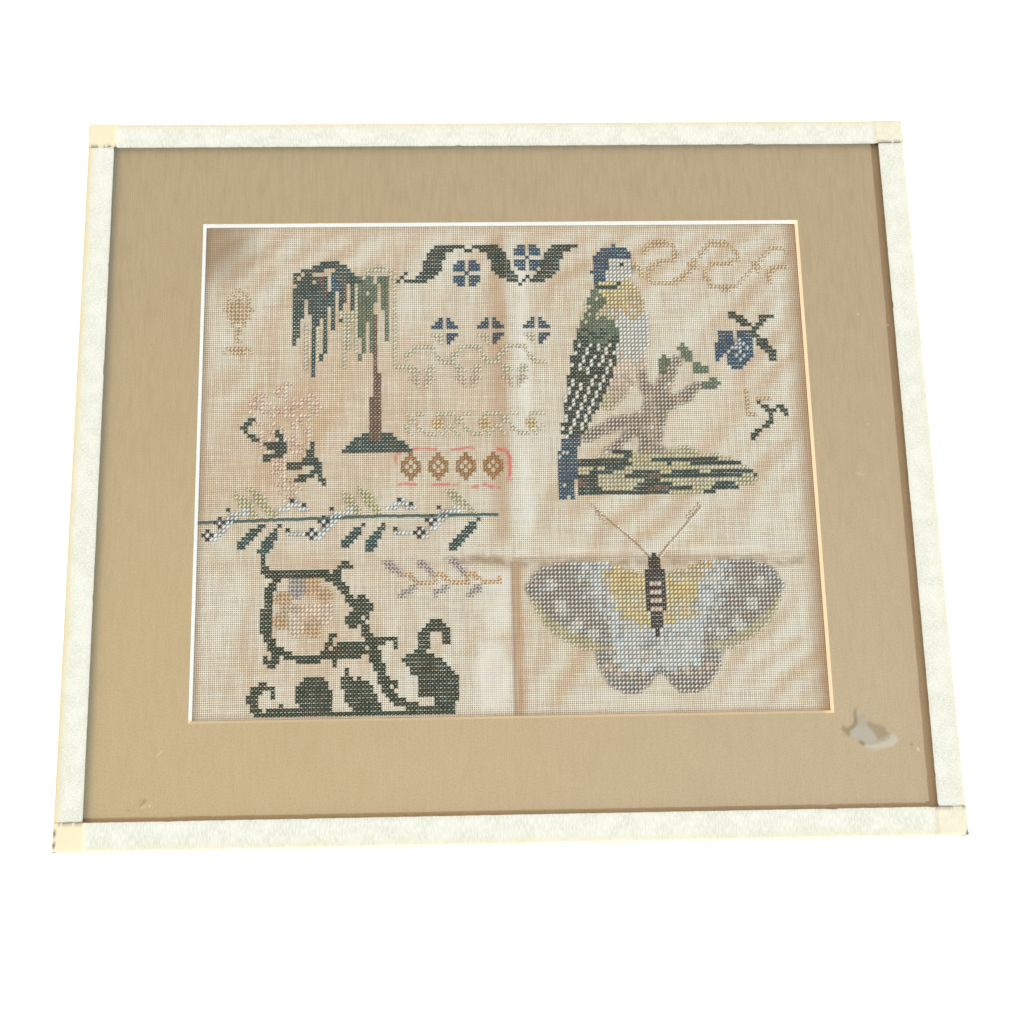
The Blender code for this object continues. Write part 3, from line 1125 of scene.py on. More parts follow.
# %% Roses, scrolls and sprigs
def rose_scroll(chart):
    """A faded rose in a ring, carried by scrolls that stand on a base line."""
    petals = (
        (24.4, 89.8, 2.2, 3.0, "mauve"), (31, 95.8, 3.0, 2.6, "pink"), (24.4, 98.6, 2.6, 2.8, "pink"),
        (23.2, 94.6, 3.0, 1.4, "fade_nut"), (27.6, 94.8, 2.4, 1.8, "pink"), (21, 92.2, 2.4, 1.8, "orange"),
        (20.8, 97.6, 2.0, 2.2, "orange"), (28.2, 89.4, 2.2, 2.6, "orange"), (31.6, 91.6, 2.2, 1.8, "orange"),
        (28.6, 99.4, 2.0, 2.6, "orange"),
    )
    for col, row, half_w, half_h, thread in petals:
        chart.oval(col, row, half_w, half_h, thread)
    strokes = (
        ((16.1, 83.4, 1), (16.7, 85.4, 2.0), (18.5, 86.6, 2.2), (24, 86.2, 2), (29.6, 86.2, 2),
         (33, 87.4, 2.4), (35.6, 89.6, 2.4), (38, 93, 2.0)),
        ((34.4, 87.4, 1.6), (35, 85.2, 1.6), (36.6, 84.2, 1.2), (38.4, 85.4, 1)),
        ((19.4, 87.8, 2), (17.7, 91, 2.2), (17, 95.4, 2.2), (17.1, 100.6, 2.2), (18.6, 103.2, 2.2),
         (19.9, 105, 2.2), (18.9, 107.3, 2), (16.8, 106.4, 1.2)),
        ((20.6, 104.6, 1.8), (24.8, 106.2, 1.8), (29.8, 106.2, 1.8), (32.3, 103.4, 1), (33.5, 100.6, 1)),
        ((40.3, 97.7, 1), (42.3, 101.5, 2.4), (43.8, 105.7, 2.8), (45.8, 110.9, 2.4), (47.8, 115.2, 2.2),
         (51.3, 117, 2), (56, 118.2, 2), (62.2, 118.5, 2)),
        ((43.8, 103, 2), (46.3, 102, 1.8), (49.1, 102.6, 1.4), (48.9, 104.4, 1)),
        ((46.4, 112.8, 1), (48, 111.6, 1), (49.3, 112.9, 1)),
        ((19, 114.9, 1), (18.8, 113.2, 1.4), (16.4, 112.8, 2), (14.5, 114, 2.2), (14.1, 116, 2.2),
         (15.4, 118.3, 2.2), (17.4, 119.4, 2)),
        ((17, 119.3, 1.8), (21, 118, 2.2), (25, 118.6, 1.4), (40, 118.6, 1), (62, 118.7, 1.4)),
    )
    for points in strokes:
        chart.stroke(points, "moss")
    chart.oval(40.6, 94.8, 2.6, 2.9, "moss")
    chart.oval(38.2, 97.4, 1.4, 2.0, "moss")
    arched = ((43.4, 105.4), (41.4, 102.6), (38.8, 102), (35.2, 102.8), (32.4, 104.8), (31.4, 106.6),
              (33.2, 106.8), (34.2, 108.6), (35.2, 106.4), (38.5, 106.4), (41, 105.8))
    bud = ((36.8, 108), (35.8, 110.6), (35.8, 113.4), (37, 116), (39.2, 118.6), (46, 118.8), (45.2, 116.4),
           (43.8, 113.8), (42.4, 111.8), (40.6, 110.8), (38.4, 111.2))
    hill = ((24, 118.8), (24.2, 113.6), (25.8, 111.2), (28.3, 110), (31.4, 110.8), (33.2, 113.6),
            (33.3, 118.8))
    for shape in (arched, bud, hill):
        chart.outline(shape, "moss")
    for square in ((41, 97), (42, 104), (25, 117)):
        chart.squares.pop(square, None)


def scroll_leaf(chart):
    """A tall curled leaf beside the rose."""
    leaf = (
        (56.9, 105.6), (57.2, 101.4), (58.4, 100.4), (60.4, 100.6), (60.8, 103.9), (62.6, 103), (62.8, 101),
        (61.8, 99.2), (60.2, 98), (57.4, 98), (54.8, 100.4), (53.8, 105), (51, 106.2), (50.4, 107.8),
        (52.8, 108.6), (52.6, 109.8), (54.8, 111.4), (54.6, 115.4), (57.4, 115.6), (59, 116.6), (59, 119),
        (63.4, 119), (64.1, 116), (64.2, 110.8), (62.2, 108.2), (60, 106.4),
    )
    chart.outline(leaf, "moss")


def small_band(chart):
    """Pairs of grey leaves on a wavy orange stem."""
    for base in (46.5, 54.6, 62.7):
        chart.stroke([(base, 83.8, 1), (base + 1.8, 85, 2.0), (base + 3.6, 86.6, 1)], "mauve")
        chart.stroke([(base + 4, 91.9, 1), (base + 5.8, 91, 1.6), (base + 7.6, 90.2, 1)], "mauve")
        wave = ((4.2, 87.4), (7, 87.6), (8.6, 89), (11.6, 89), (12.3, 87.8))
        chart.stroke([(base + u, row) for u, row in wave], "orange")


BLUE_ROSE = (
    ".bbbb.bbb.",
    ".bbbb.bbbb",
    ".bbbb.sbbb",
    "bbbbbsssbb",
    "bbbbsssbsb",
    "bbbsbbsbbb",
    "bb.bbsbsbb",
    "b..bbbsbb.",
    "...bbbbb..",
    "....bbb...",
)


def blue_rose(chart):
    """A blue flower with pale stitches at its heart, hanging from two leaves."""
    chart.rows(133, 28, BLUE_ROSE, {"b": "blue", "s": "sky"})
    chart.stroke([(137.2, 23.4, 1.4), (139.6, 24.6, 2.4), (142.4, 26.2, 1)], "green")
    chart.stroke([(146.8, 23.6, 1), (144.8, 25.6, 1), (142, 28.2, 1)], "green")
    chart.stroke([(142, 28, 1), (144.6, 30.2, 2.2), (146.8, 32.8, 2.4), (147.6, 35, 1)], "green")
    chart.put(145, 24, "green")
    chart.put(148, 24, "green")


def sprig(chart):
    """A forked green stem whose tan flower has almost gone."""
    chart.stroke([(139.6, 43.4), (140.4, 45), (139.6, 47), (140.6, 49), (142.4, 48.6)], "tan")
    chart.stroke([(143, 45), (145.8, 45.4)], "tan")
    chart.stroke([(140.8, 55, 1.4), (143.4, 52.6), (145.7, 50.7), (146, 48.4, 1.2), (142.8, 46)], "green")
    chart.stroke([(146.2, 48.2), (148.6, 47.2), (150.4, 48.8)], "green")


for motif in (carnation, vine, willow, rose_scroll, scroll_leaf, small_band, sprig, blue_rose):
    charted(motif)

# %% [markdown]
# The butterfly is one half, drawn as an outline with bands of colour and mirrored. Where two colours
# meet, noise decides which thread a square gets, as a sewer shades by mixing. Each side has its own
# noise, because no two wings are sewn quite alike.

# %% Butterfly
BUTTERFLY_MID = 114
BUTTERFLY_TOP = 84
WING = (
    (0.8, 5.6), (3.4, 3.4), (12, 1.0), (19.5, 0.2), (25, 0.8), (30, 2.4), (32.2, 6.2), (31.4, 10),
    (29.4, 13.4), (26.8, 16.6), (22.9, 19.4), (19, 21.4), (16, 22), (15.2, 22.6), (15.4, 24.4), (14.6, 26.8),
    (12.6, 29.2), (9.6, 31), (6.4, 31.8), (3.4, 30.4), (0.8, 27.4), (0.8, 21),
)
# Eye spots: place and radius in stitches
WING_DOTS = (
    (26.4, 6.2, 1.5), (24, 11, 1.7), (20.4, 15.6, 1.7), (16, 17.8, 1.5),
    (4, 27, 0.8), (7, 26.4, 0.8), (10, 26.6, 0.8), (12.4, 25.4, 0.8),
)


def wing_thread(out, down, side):
    """Thread at a place on the wing: columns out from the body, rows down from its top."""
    drift = 2.2 * shade(out, down, 5.0 + side)
    fleck = 1.8 * wobble(out * 4.3, down * 4.7, 15.5 + side)
    for col, row, radius in WING_DOTS:
        if (out - col) ** 2 + (down - row) ** 2 <= radius**2:
            return "white" if row < 20 else "pink"
    if down > 21.5:
        if out + drift < 10.5 and down + drift < 25.6:
            return "pale" if drift < 0.8 else "white"
        return "ash" if out + 0.5 * down + drift < 28 else "fade_nut"
    if down + fleck < 16.5 - 0.25 * out and 0.6 < out < 13.2 - 0.28 * down + drift * 0.4 + 1.6 * fleck:
        return "gold" if drift > 0.9 or fleck > 0.8 else "white" if fleck < -0.95 else "yellow"
    if out + drift + 2.4 * fleck < 19.5 - 0.12 * down - 0.02 * down**2 or (down + drift > 16.5 and out < 12):
        return "white" if drift + fleck > 0.8 else "pale" if drift + 0.5 * fleck > -0.8 else "slate"
    if down > 9 and (out / 32.5) ** 2 + ((down - 4) / 18.5) ** 2 + 0.02 * drift > 0.93:
        return "olive"
    return "slate" if drift + fleck > 1.3 else "brown" if fleck < -0.8 else "ash"


def butterfly(chart):
    """Two wings, a banded body and the worn tips of the feelers."""
    reach = math.ceil(max(p[0] for p in WING))
    for side in (-1, 1):
        for out in range(1, reach + 1):
            for down in range(0, 34):
                if inside(WING, out, down):
                    thread = wing_thread(out, down, side)
                    chart.put(BUTTERFLY_MID + side * out, BUTTERFLY_TOP + down, thread)
    for down in range(18, 27):
        chart.put(BUTTERFLY_MID, BUTTERFLY_TOP + down, "slate" if down % 3 else "pale")
    body = ((-0.6, -1), (-2.4, 3), (-2.5, 10.4), (-1.6, 14), (-0.6, 18.8),
            (0.6, 18.8), (1.6, 14), (2.5, 10.4), (2.4, 3), (0.6, -1))
    chart.outline([(BUTTERFLY_MID + u, BUTTERFLY_TOP + v) for u, v in body], "dark")
    for down in (6, 8, 10, 12):
        for out in (-1, 0, 1):
            chart.put(BUTTERFLY_MID + out, BUTTERFLY_TOP + down, "pink" if out else "fade_nut")
    for tip, inner in (((99, 71), (102, 75)), ((126, 71), (123, 74))):
        chart.stroke([tip, inner], "fade_nut")


print("wing of", len(WING), "points")

# %% [markdown]
# The place of the sampler's largest picture holds a bird of this script's own design, in the same
# colours: it looks to the right, from a leafy branch over a bank of grass. Each part is an outline
# filled by a rule that picks a thread for each square.

# %% Bird, branch and bank
def breast_thread(col, row):
    """Gold, then white, then pink down the breast, mixed where they meet."""
    level = row + 2 * shade(col, row, 2.0) + 4 * wobble(col * 4.3, row * 4.7, 2.5)
    if level < 22:
        return "yellow" if level < 19.5 else "gold"
    if level < 34:
        return "white"
    return "pink" if level < 40 else "fade_nut" if level < 45 else "olive"


def wing_feather(col, row):
    """Green feathers with pale quills that slant along the wing."""
    mixed = shade(col, row, 8.0)
    if row + 5 * mixed < 26:
        return "olive" if mixed > 0.1 else "sage"
    if row + 3 * mixed < 31:
        return "sage" if mixed > 0 else "green"
    if (2 * col + row) % 5 < 2 and mixed > -0.35:
        return "white"
    return "green" if mixed < 0.5 else "sage"


def bird(chart):
    """Head to the right, back and wing to the left, tail hanging to the left of the branch."""
    breast = ((103, 13), (110, 13.4), (114, 18), (115.8, 26), (114.6, 35), (110, 43), (104, 49),
              (100.6, 44), (100, 26))
    chart.outline(breast, breast_thread)
    back = ((101.6, 15), (105, 20), (107.4, 28), (106, 37), (102, 45.6), (97, 54), (92.6, 59),
            (91.8, 52), (93.6, 40), (96.4, 28), (99, 20))
    chart.outline(back, wing_feather)
    tail = ((91.2, 55), (96.4, 53.6), (95.4, 60), (94.6, 69.6), (92.8, 68.4), (91.4, 70), (90, 69.6),
            (90.6, 62))
    chart.outline(tail, lambda col, row: "blue" if shade(col, row, 4.0) < 0.55 else "sky")
    crown = ((101, 12), (101.4, 8.4), (103.6, 5.6), (107, 4.8), (110.6, 6), (112, 8.6), (109, 9),
             (106.4, 9.4), (105.4, 12), (104, 15), (101.8, 14.6))
    chart.outline(crown, "blue")
    face = ((106, 9), (111.6, 8.8), (112, 12.6), (109.6, 14), (105, 14.4), (104.6, 12))
    chart.outline(face, lambda col, row: "white" if shade(col, row, 6.0) < 0.4 else "sky")
    chart.put(109, 10, "dark")
    chart.stroke([(112.4, 9.8, 1.6), (113.8, 11.4, 1.4), (113.6, 13.4, 1)], "gold")
    chart.stroke([(101.6, 15.4, 1.4), (104.6, 16.2, 1.4), (108, 15.4, 1)], "teal")


def bark_thread(col, row):
    """Brown bark with worn and lit stitches."""
    mixed = shade(col, row, 12.0)
    return "brown" if mixed < 0.25 else "fade_nut" if mixed < 0.6 else "white"


def branch(chart):
    """The bird's perch, with a few leaves, and the bank of grass under it."""
    limbs = (
        ((97.6, 54.4, 2.2), (104, 51.6, 3.0), (110, 50, 3.6), (115, 48, 4)),
        ((114.4, 59, 6.6), (114.8, 53, 5.8), (116.4, 47, 5.6), (118.8, 41, 4.4), (122, 35, 2.6)),
        ((117, 46.6, 3.4), (123, 44.6, 3.0), (127.6, 41.6, 1.8)),
        ((115.6, 46, 3.2), (113.8, 41, 2.6), (113.6, 37, 1.6)),
        ((111, 52.4, 2.0), (106, 56, 2.0), (102.6, 57.6, 1.4)),
    )
    for points in limbs:
        chart.stroke(points, bark_thread)
    leaves = ((124.6, 33, 60), (128.4, 37.4, 25), (130.6, 41.2, -10), (118.8, 35.8, 100), (112.6, 35, 70))
    for col, row, turn in leaves:
        chart.oval(col, row, 2.6, 1.3, "sage", turn)
    bank = ((95, 59.6), (101, 59), (107, 57.4), (114, 58.6), (120, 57.6), (123, 56.2), (127, 58),
            (133, 59), (139, 61.6), (142.4, 64.4), (139.6, 66.4), (131, 68), (113, 68.2), (95.4, 68))
    chart.outline(bank, grass_thread)


def grass_thread(col, row):
    """Grass in long level streaks of three greens."""
    streak = wobble(col * 0.10, row * 0.62, 3.0) + 0.25 * wobble(col, row, 1.0)
    streak -= 0.22 if col < 101 or row > 67 else 0.0
    if streak > -0.02:
        return "olive" if streak < 0.26 else "fade_olive"
    if streak < -0.60:
        return "bark"
    return "green" if streak < -0.14 else "teal"


for motif in (butterfly, branch, bird):
    charted(motif)
print(len(CHARTS), "charts,", sum(len(chart.squares) for chart in CHARTS), "stitches")

# %% [markdown]
# One stitch is two short strands that cross, the second riding over the first. Wool is thick and
# nearly fills its square, silk is finer, so there are two pattern stitches. Geometry Nodes set the
# right one on every charted square, lean it with the cloth, jitter its turn and size, and turn the
# lot into plain mesh. Each square carries its own thread colour as an attribute.

# %% One stitch
SILK_WIDTH = 0.80 * MM
WOOL_WIDTH = 1.02 * MM
STRAND_DEPTH = 0.30 * MM
STRAND_SIDES = 5
STATIONS = (0.13, 0.5, 0.87)
END_SINK = Vector((0, 0, -0.10 * MM))
LOWER_LIFT = 0.08 * MM
UPPER_LIFT = 0.25 * MM
LAID_LIFT = 0.22 * MM
SEWN_RISE = 0.04 * MM


def strand(points, faces, start, end, lift, width):
    """Add one closed strand from start to end, arched by `lift`, its ends in the cloth."""
    run = end - start
    across = Vector((-run.y, run.x, 0)).normalized()
    first = len(points)
    points.append(start + END_SINK)
    for t in STATIONS:
        swell = 1.0 if t == 0.5 else 0.82
        middle = start + run * t + Vector((0, 0, lift * math.sin(math.pi * t)))
        for k in range(STRAND_SIDES):
            angle = 2 * math.pi * (k + 0.25) / STRAND_SIDES
            side = across * math.cos(angle) * width / 2 * swell
            up = Vector((0, 0, math.sin(angle) * STRAND_DEPTH / 2 * swell))
            points.append(middle + side + up)
    points.append(end + END_SINK)
    last = len(points) - 1
    tail = last - STRAND_SIDES
    for k in range(STRAND_SIDES):
        j = (k + 1) % STRAND_SIDES
        faces.append((first, first + 1 + j, first + 1 + k))
        for ring in range(len(STATIONS) - 1):
            a = first + 1 + ring * STRAND_SIDES
            faces.append((a + k, a + j, a + STRAND_SIDES + j, a + STRAND_SIDES + k))
        faces.append((last, tail + k, tail + j))


STRAND_CROWN = [0.0] + [math.sin(math.pi * t) for t in STATIONS for _ in range(STRAND_SIDES)] + [0.0]


def set_strand_values(piece, upper, count):
    """Mark which points lie on an upper strand, and how near they are to its highest place."""
    keep(piece.data, "upper", upper)
    keep(piece.data, "crown", STRAND_CROWN * count)


def make_stitch(name, width):
    """A pattern stitch: the lower strand falls to the right, the upper one rises to the right."""
    w = STITCH_W / 2
    h = STITCH_H / 2
    points = []
    faces = []
    strand(points, faces, Vector((-w, h, 0)), Vector((w, -h, 0)), LOWER_LIFT, width)
    strand(points, faces, Vector((-w, -h, 0)), Vector((w, h, 0)), UPPER_LIFT, width)
    piece = mesh_piece(name, points, faces, [])
    face_outwards(piece)
    half = len(points) // 2
    set_strand_values(piece, [0.0] * half + [1.0] * half, 2)
    return piece


STITCHES = {
    "Silk stitch": make_stitch("silk_stitch", SILK_WIDTH),
    "Wool stitch": make_stitch("wool_stitch", WOOL_WIDTH),
}
for label, pattern in STITCHES.items():
    print(label, len(pattern.data.polygons), "faces")

# %% [markdown]
# The finish paints thread lighter where it rides high and darker where it dives into the cloth, as painted
# highlight and shade, and silk far more so than wool; silk also gets a painted white sheen. The pattern
# stitch says which strand is the upper one and where it is highest, so the finish can add that without
# more faces.

# %% Thread finish
def thread_finish():
    """Loosely twisted wool and silk, in the colour that each stitch carries, with painted highlight and shade
    along each strand and a painted sheen on silk.
    """
    f = Finish("embroidery_thread", 0.62)
    base = f.attribute("thread", "Color")
    silk = f.attribute("silk")
    crown = f.attribute("crown")
    # Painted highlight on the upper strand's crown, painted shade towards the strand ends
    high = f.attribute("upper") * crown.rising(0.15, 0.90)
    low = crown.rising(0.1, 0.8)
    wool_tone = 0.66 + high * 0.52 + low * 0.12
    silk_tone = 0.42 + high * 0.80 + low * 0.08
    fuzz = f.noise(2300.0, 2.0)
    tone = (wool_tone + silk * (silk_tone - wool_tone)) * (0.86 + fuzz * 0.28)
    dull = f.node("ShaderNodeVectorMath", {"operation": "SCALE"}, {0: base, "Scale": tone})
    # Painted white sheen on silk's upper strand
    f.feed("Base Color", f.mix(high * high * silk * 0.92, dull, srgb(255, 253, 246)))
    f.feed("Roughness", 0.74 - silk * 0.40)
    f.feed("Normal", f.bump(fuzz, 0.10 * MM, 0.7))
    return f.material


thread = thread_finish()
print("finish", thread.name)

# %% [markdown]
# The tree puts a stitch on every point of a chart. The same could be done by copying the mesh in
# Python, but the tree is faster, and its inputs (which stitch, how much jitter, which seed) can be
# turned while you watch. A wool square takes the wool stitch and a silk square the silk one.

# %% Sewing tree
def sewing_tree():
    """Geometry Nodes: a stitch on every point, leaned, jittered and made real."""
    tree = bpy.data.node_groups.new("sewing", "GeometryNodeTree")
    face = tree.interface
    face.new_socket("Points", in_out="INPUT", socket_type="NodeSocketGeometry")
    for label in STITCHES:
        face.new_socket(label, in_out="INPUT", socket_type="NodeSocketObject")
    face.new_socket("Turn jitter", in_out="INPUT", socket_type="NodeSocketFloat")
    face.new_socket("Size jitter", in_out="INPUT", socket_type="NodeSocketFloat")
    face.new_socket("Seed", in_out="INPUT", socket_type="NodeSocketInt")
    face.new_socket("Finish", in_out="INPUT", socket_type="NodeSocketMaterial")
    face.new_socket("Sewing", in_out="OUTPUT", socket_type="NodeSocketGeometry")
    g = Graph(tree)
    given = g.node("NodeGroupInput").socket.node
    ask = {socket.name: Wire(g, socket) for socket in given.outputs if socket.name}
    lean = g.node("GeometryNodeInputNamedAttribute", {"data_type": "FLOAT_VECTOR"}, {"Name": "lean"})
    turn = g.node("FunctionNodeRandomValue", {"data_type": "FLOAT"}, {"Seed": ask["Seed"]}, 1)
    size = g.node("FunctionNodeRandomValue", {"data_type": "FLOAT"}, {"Seed": ask["Seed"] + 7}, 1)
    swing = g.node("ShaderNodeCombineXYZ", None, {"Z": (turn - 0.5) * ask["Turn jitter"]})
    total = g.node("ShaderNodeVectorMath", {"operation": "ADD"}, {0: lean, 1: swing})
    rotation = g.node("FunctionNodeEulerToRotation", None, {"Euler": total})
    scale = 1 + (size - 0.5) * ask["Size jitter"]
    silk = g.node("GeometryNodeInputNamedAttribute", {"data_type": "FLOAT"}, {"Name": "silk"})
    both = g.node("GeometryNodeJoinGeometry")
    choices = {"Silk stitch": silk.math("GREATER_THAN", 0.0), "Wool stitch": 1.0 - silk.math("CEIL")}
    for label, chosen in choices.items():
        stitch = g.node("GeometryNodeObjectInfo", None, {"Object": ask[label]}, "Geometry")
        placing = {"Instance": stitch, "Rotation": rotation, "Scale": scale, "Selection": chosen}
        placed = g.node("GeometryNodeInstanceOnPoints", None, {"Points": ask["Points"], **placing})
        tree.links.new(placed.socket, both.socket.node.inputs["Geometry"])
    real = g.node("GeometryNodeRealizeInstances", None, {"Geometry": both})
    done = g.node("GeometryNodeSetMaterial", None, {"Geometry": real, "Material": ask["Finish"]})
    g.node("NodeGroupOutput", None, {0: done})
    return tree


SEWING = sewing_tree()
print("tree", SEWING.name, "with", len(SEWING.nodes), "nodes")

# %% [markdown]
# To sew a chart, its squares become loose points on the linen. Each point keeps the lean of the cloth
# there, its thread's colour with a little luck in the dye, and how silky the thread is. The tree runs
# once, its result is copied out as plain mesh, and the points are thrown away.

# %% Sewing a chart
SLOPE_STEP = 1.0 * MM
DYE_LUCK = 0.14


def set_inputs(modifier, values):
    """Set a tree's inputs by their sockets' identifiers."""
    for item in modifier.node_group.interface.items_tree:
        if item.item_type == "SOCKET" and item.in_out == "INPUT" and item.name in values:
            modifier[item.identifier] = values[item.name]


def stitch_points(squares, name, luck):
    """A mesh of loose points, one for each square, with its thread colour and lean."""
    points = []
    leans = []
    colours = []
    silks = []
    for (col, row), thread_name in sorted(squares.items()):
        x, y = square_place(col, row)
        if not (SEWN_LEFT < x - STITCH_W / 2 and y - STITCH_H / 2 > WIN_LOW + BEVEL):
            continue
        if x + STITCH_W / 2 > WIN_RIGHT - BEVEL:
            continue
        step = SLOPE_STEP
        slope_x = (height_at(x + step, y) - height_at(x - step, y)) / (2 * step)
        slope_y = (height_at(x, y + step) - height_at(x, y - step)) / (2 * step)
        points.append((x, y, height_at(x, y) + SEWN_RISE))
        *colour, depth = THREADS[thread_name]
        silks.append(depth)
        leans.extend((math.atan(slope_y), -math.atan(slope_x), 0.0 if depth else math.pi / 2))
        tone = 1 + luck.uniform(-DYE_LUCK, DYE_LUCK)
        colours.extend([min(c * tone, 1.0) for c in srgb(*colour)] + [1.0])
    mesh = bpy.data.meshes.new(name)
    mesh.from_pydata(points, [], [])
    keep(mesh, "lean", leans, "FLOAT_VECTOR")
    keep(mesh, "thread", colours, "FLOAT_COLOR")
    keep(mesh, "silk", silks)
    return show(name, mesh)


def sew(charts, name, seed):
    """Turn charts into one mesh of real stitches."""
    squares = {}
    for chart in charts:
        squares.update(chart.squares)
    holder = stitch_points(squares, name, random.Random(seed))
    modifier = holder.modifiers.new("sewing", "NODES")
    modifier.node_group = SEWING
    values = {**STITCHES, "Turn jitter": 0.16, "Size jitter": 0.14, "Seed": seed, "Finish": thread}
    set_inputs(modifier, values)
    evaluated = holder.evaluated_get(bpy.context.evaluated_depsgraph_get())
    mesh = bpy.data.meshes.new_from_object(evaluated)
    mesh.name = name
    bpy.data.objects.remove(holder, do_unlink=True)
    piece = show(name, mesh)
    mesh.shade_smooth()
    print(name, len(squares), "stitches,", len(mesh.polygons), "faces")
    return piece


print("slope of the linen read over", round(2 * SLOPE_STEP / MM, 1), "mm")

# %% [markdown]
# Two things finish the sewing. Between stitches the linen is painted darker, as shade, because light gets
# lost there, so the linen keeps a value for how covered it is. And a few threads are laid along the cloth
# instead of crossed: the vine's stem and the butterfly's feelers. They follow a path, so they are
# made strand by strand, with a fixed seed for how far each end strays.

# %% Laid threads and cover
# Painted shade under wool, lighter than under silk
WOOL_UNDER_SHADE = 0.34


def paint_shade_under_stitches():
    """Mark the linen behind stitches for painted shade: dark under silk, lighter under wool, whose fuzz fills
    the holes.
    """
    rows, cols = SHEET_Z.shape
    cover = np.zeros((rows, cols))
    for chart in CHARTS:
        for (col, row), name in chart.squares.items():
            x, y = square_place(col, row)
            i = round((x - SHEET_XS[0]) / (SHEET_XS[1] - SHEET_XS[0]))
            j = round((y - SHEET_YS[0]) / (SHEET_YS[1] - SHEET_YS[0]))
            if 0 < i < cols - 1 and 0 < j < rows - 1:
                cover[j - 1 : j + 2, i - 1 : i + 2] += (THREADS[name][3] or WOOL_UNDER_SHADE) / 6
    values = np.tile(np.clip(cover, 0, 1).reshape(-1), 2)
    keep(linen.data, "under", values)


# Threads laid along the cloth: places as (col, row), thread, width and stitch length in millimetres,
# how far each stitch overlaps the next, as a share of its length, and how far its ends stray
LAID_THREADS = (
    (((-1, 74), (24, 73.5), (45, 73), (75, 73)), "stem", 1.6, 2.1, 0.12, 0.20),
    (((113.2, 84), (109, 79.6), (104.6, 76), (99.6, 72)), "straw", 0.96, 1.5, -0.05, 0.32),
    (((109.4, 79.6), (105, 76)), "white", 0.6, 1.3, -0.14, 0.20),
    (((114.8, 84), (118.4, 80), (122.6, 75.6), (126.4, 71.6)), "straw", 0.96, 1.5, -0.05, 0.32),
    (((115.4, 84), (119, 80), (123.2, 75.6), (126.9, 71.8)), "white", 0.6, 1.3, -0.10, 0.16),
)


def sew_laid_threads(name):
    """Long stitches end to end, as one mesh with the same attributes as the crosses."""
    points = []
    faces = []
    colours = []
    luck = random.Random(31)
    for places, thread_name, width, length, overlap, stray in LAID_THREADS:
        line = [Vector((*square_place(col, row), 0)) for col, row in places]
        for a, b in zip(line, line[1:]):
            count = max(1, round((b - a).length / (length * MM)))
            for k in range(count):
                start = a.lerp(b, (k - overlap) / count)
                end = a.lerp(b, (k + 1 + overlap) / count)
                across = Vector((a.y - b.y, b.x - a.x, 0)).normalized() * MM
                for end_point in (start, end):
                    end_point += across * luck.uniform(-stray, stray)
                    end_point.z = height_at(end_point.x, end_point.y) + SEWN_RISE
                middle = (start + end) / 2
                bulge = max(height_at(middle.x, middle.y) - middle.z, 0.0)
                first = len(points)
                strand(points, faces, start, end, bulge + LAID_LIFT, width * MM)
                colour = [*srgb(*THREADS[thread_name][:3]), 1.0]
                colours.extend(colour * (len(points) - first))
    piece = mesh_piece(name, points, faces, [thread])
    face_outwards(piece)
    set_strand_values(piece, [1.0] * len(points), len(points) // len(STRAND_CROWN))
    keep(piece.data, "silk", [0.0] * len(points))
    keep(piece.data, "thread", colours, "FLOAT_COLOR")
    print(name, len(points) // len(STRAND_CROWN), "long stitches")
    return piece


PARTS = {
    "sewn_borders": (garland, flower_row, lattice_band, lozenge_row, topiary, gold_scroll),
    "sewn_plants": (willow, carnation, vine, blue_rose, sprig, small_band),
    "sewn_roses": (rose_scroll, scroll_leaf),
    "sewn_butterfly": (butterfly,),
    "sewn_bird": (bird, branch),
}


def sew_all():
    """Sew every part in turn, then put the pattern stitches away."""
    paint_shade_under_stitches()
    pieces = []
    for seed, (name, makers) in enumerate(PARTS.items()):
        wanted = [maker.__name__ for maker in makers]
        charts = [chart for chart in CHARTS if chart.name in wanted]
        pieces.append(sew(charts, name, 11 + seed))
    pieces.append(sew_laid_threads("sewn_lines"))
    for pattern in STITCHES.values():
        bpy.data.objects.remove(pattern, do_unlink=True)
    return pieces


sewn = sew_all()

# %% [markdown]
# The mat is board with a tan face paper and a white core that shows in the bevel. Near its lower
# right corner the face paper was torn away. That scar is drawn as a few outlines, each with a colour
# and a depth, on a grid of the board's face that is fine only there.

# %% Torn patch of the mat
SCAR_X = 163.5 * MM
SCAR_Y = -129.0 * MM
SCAR_REACH = 15 * MM
SCAR_STEP = 0.4 * MM

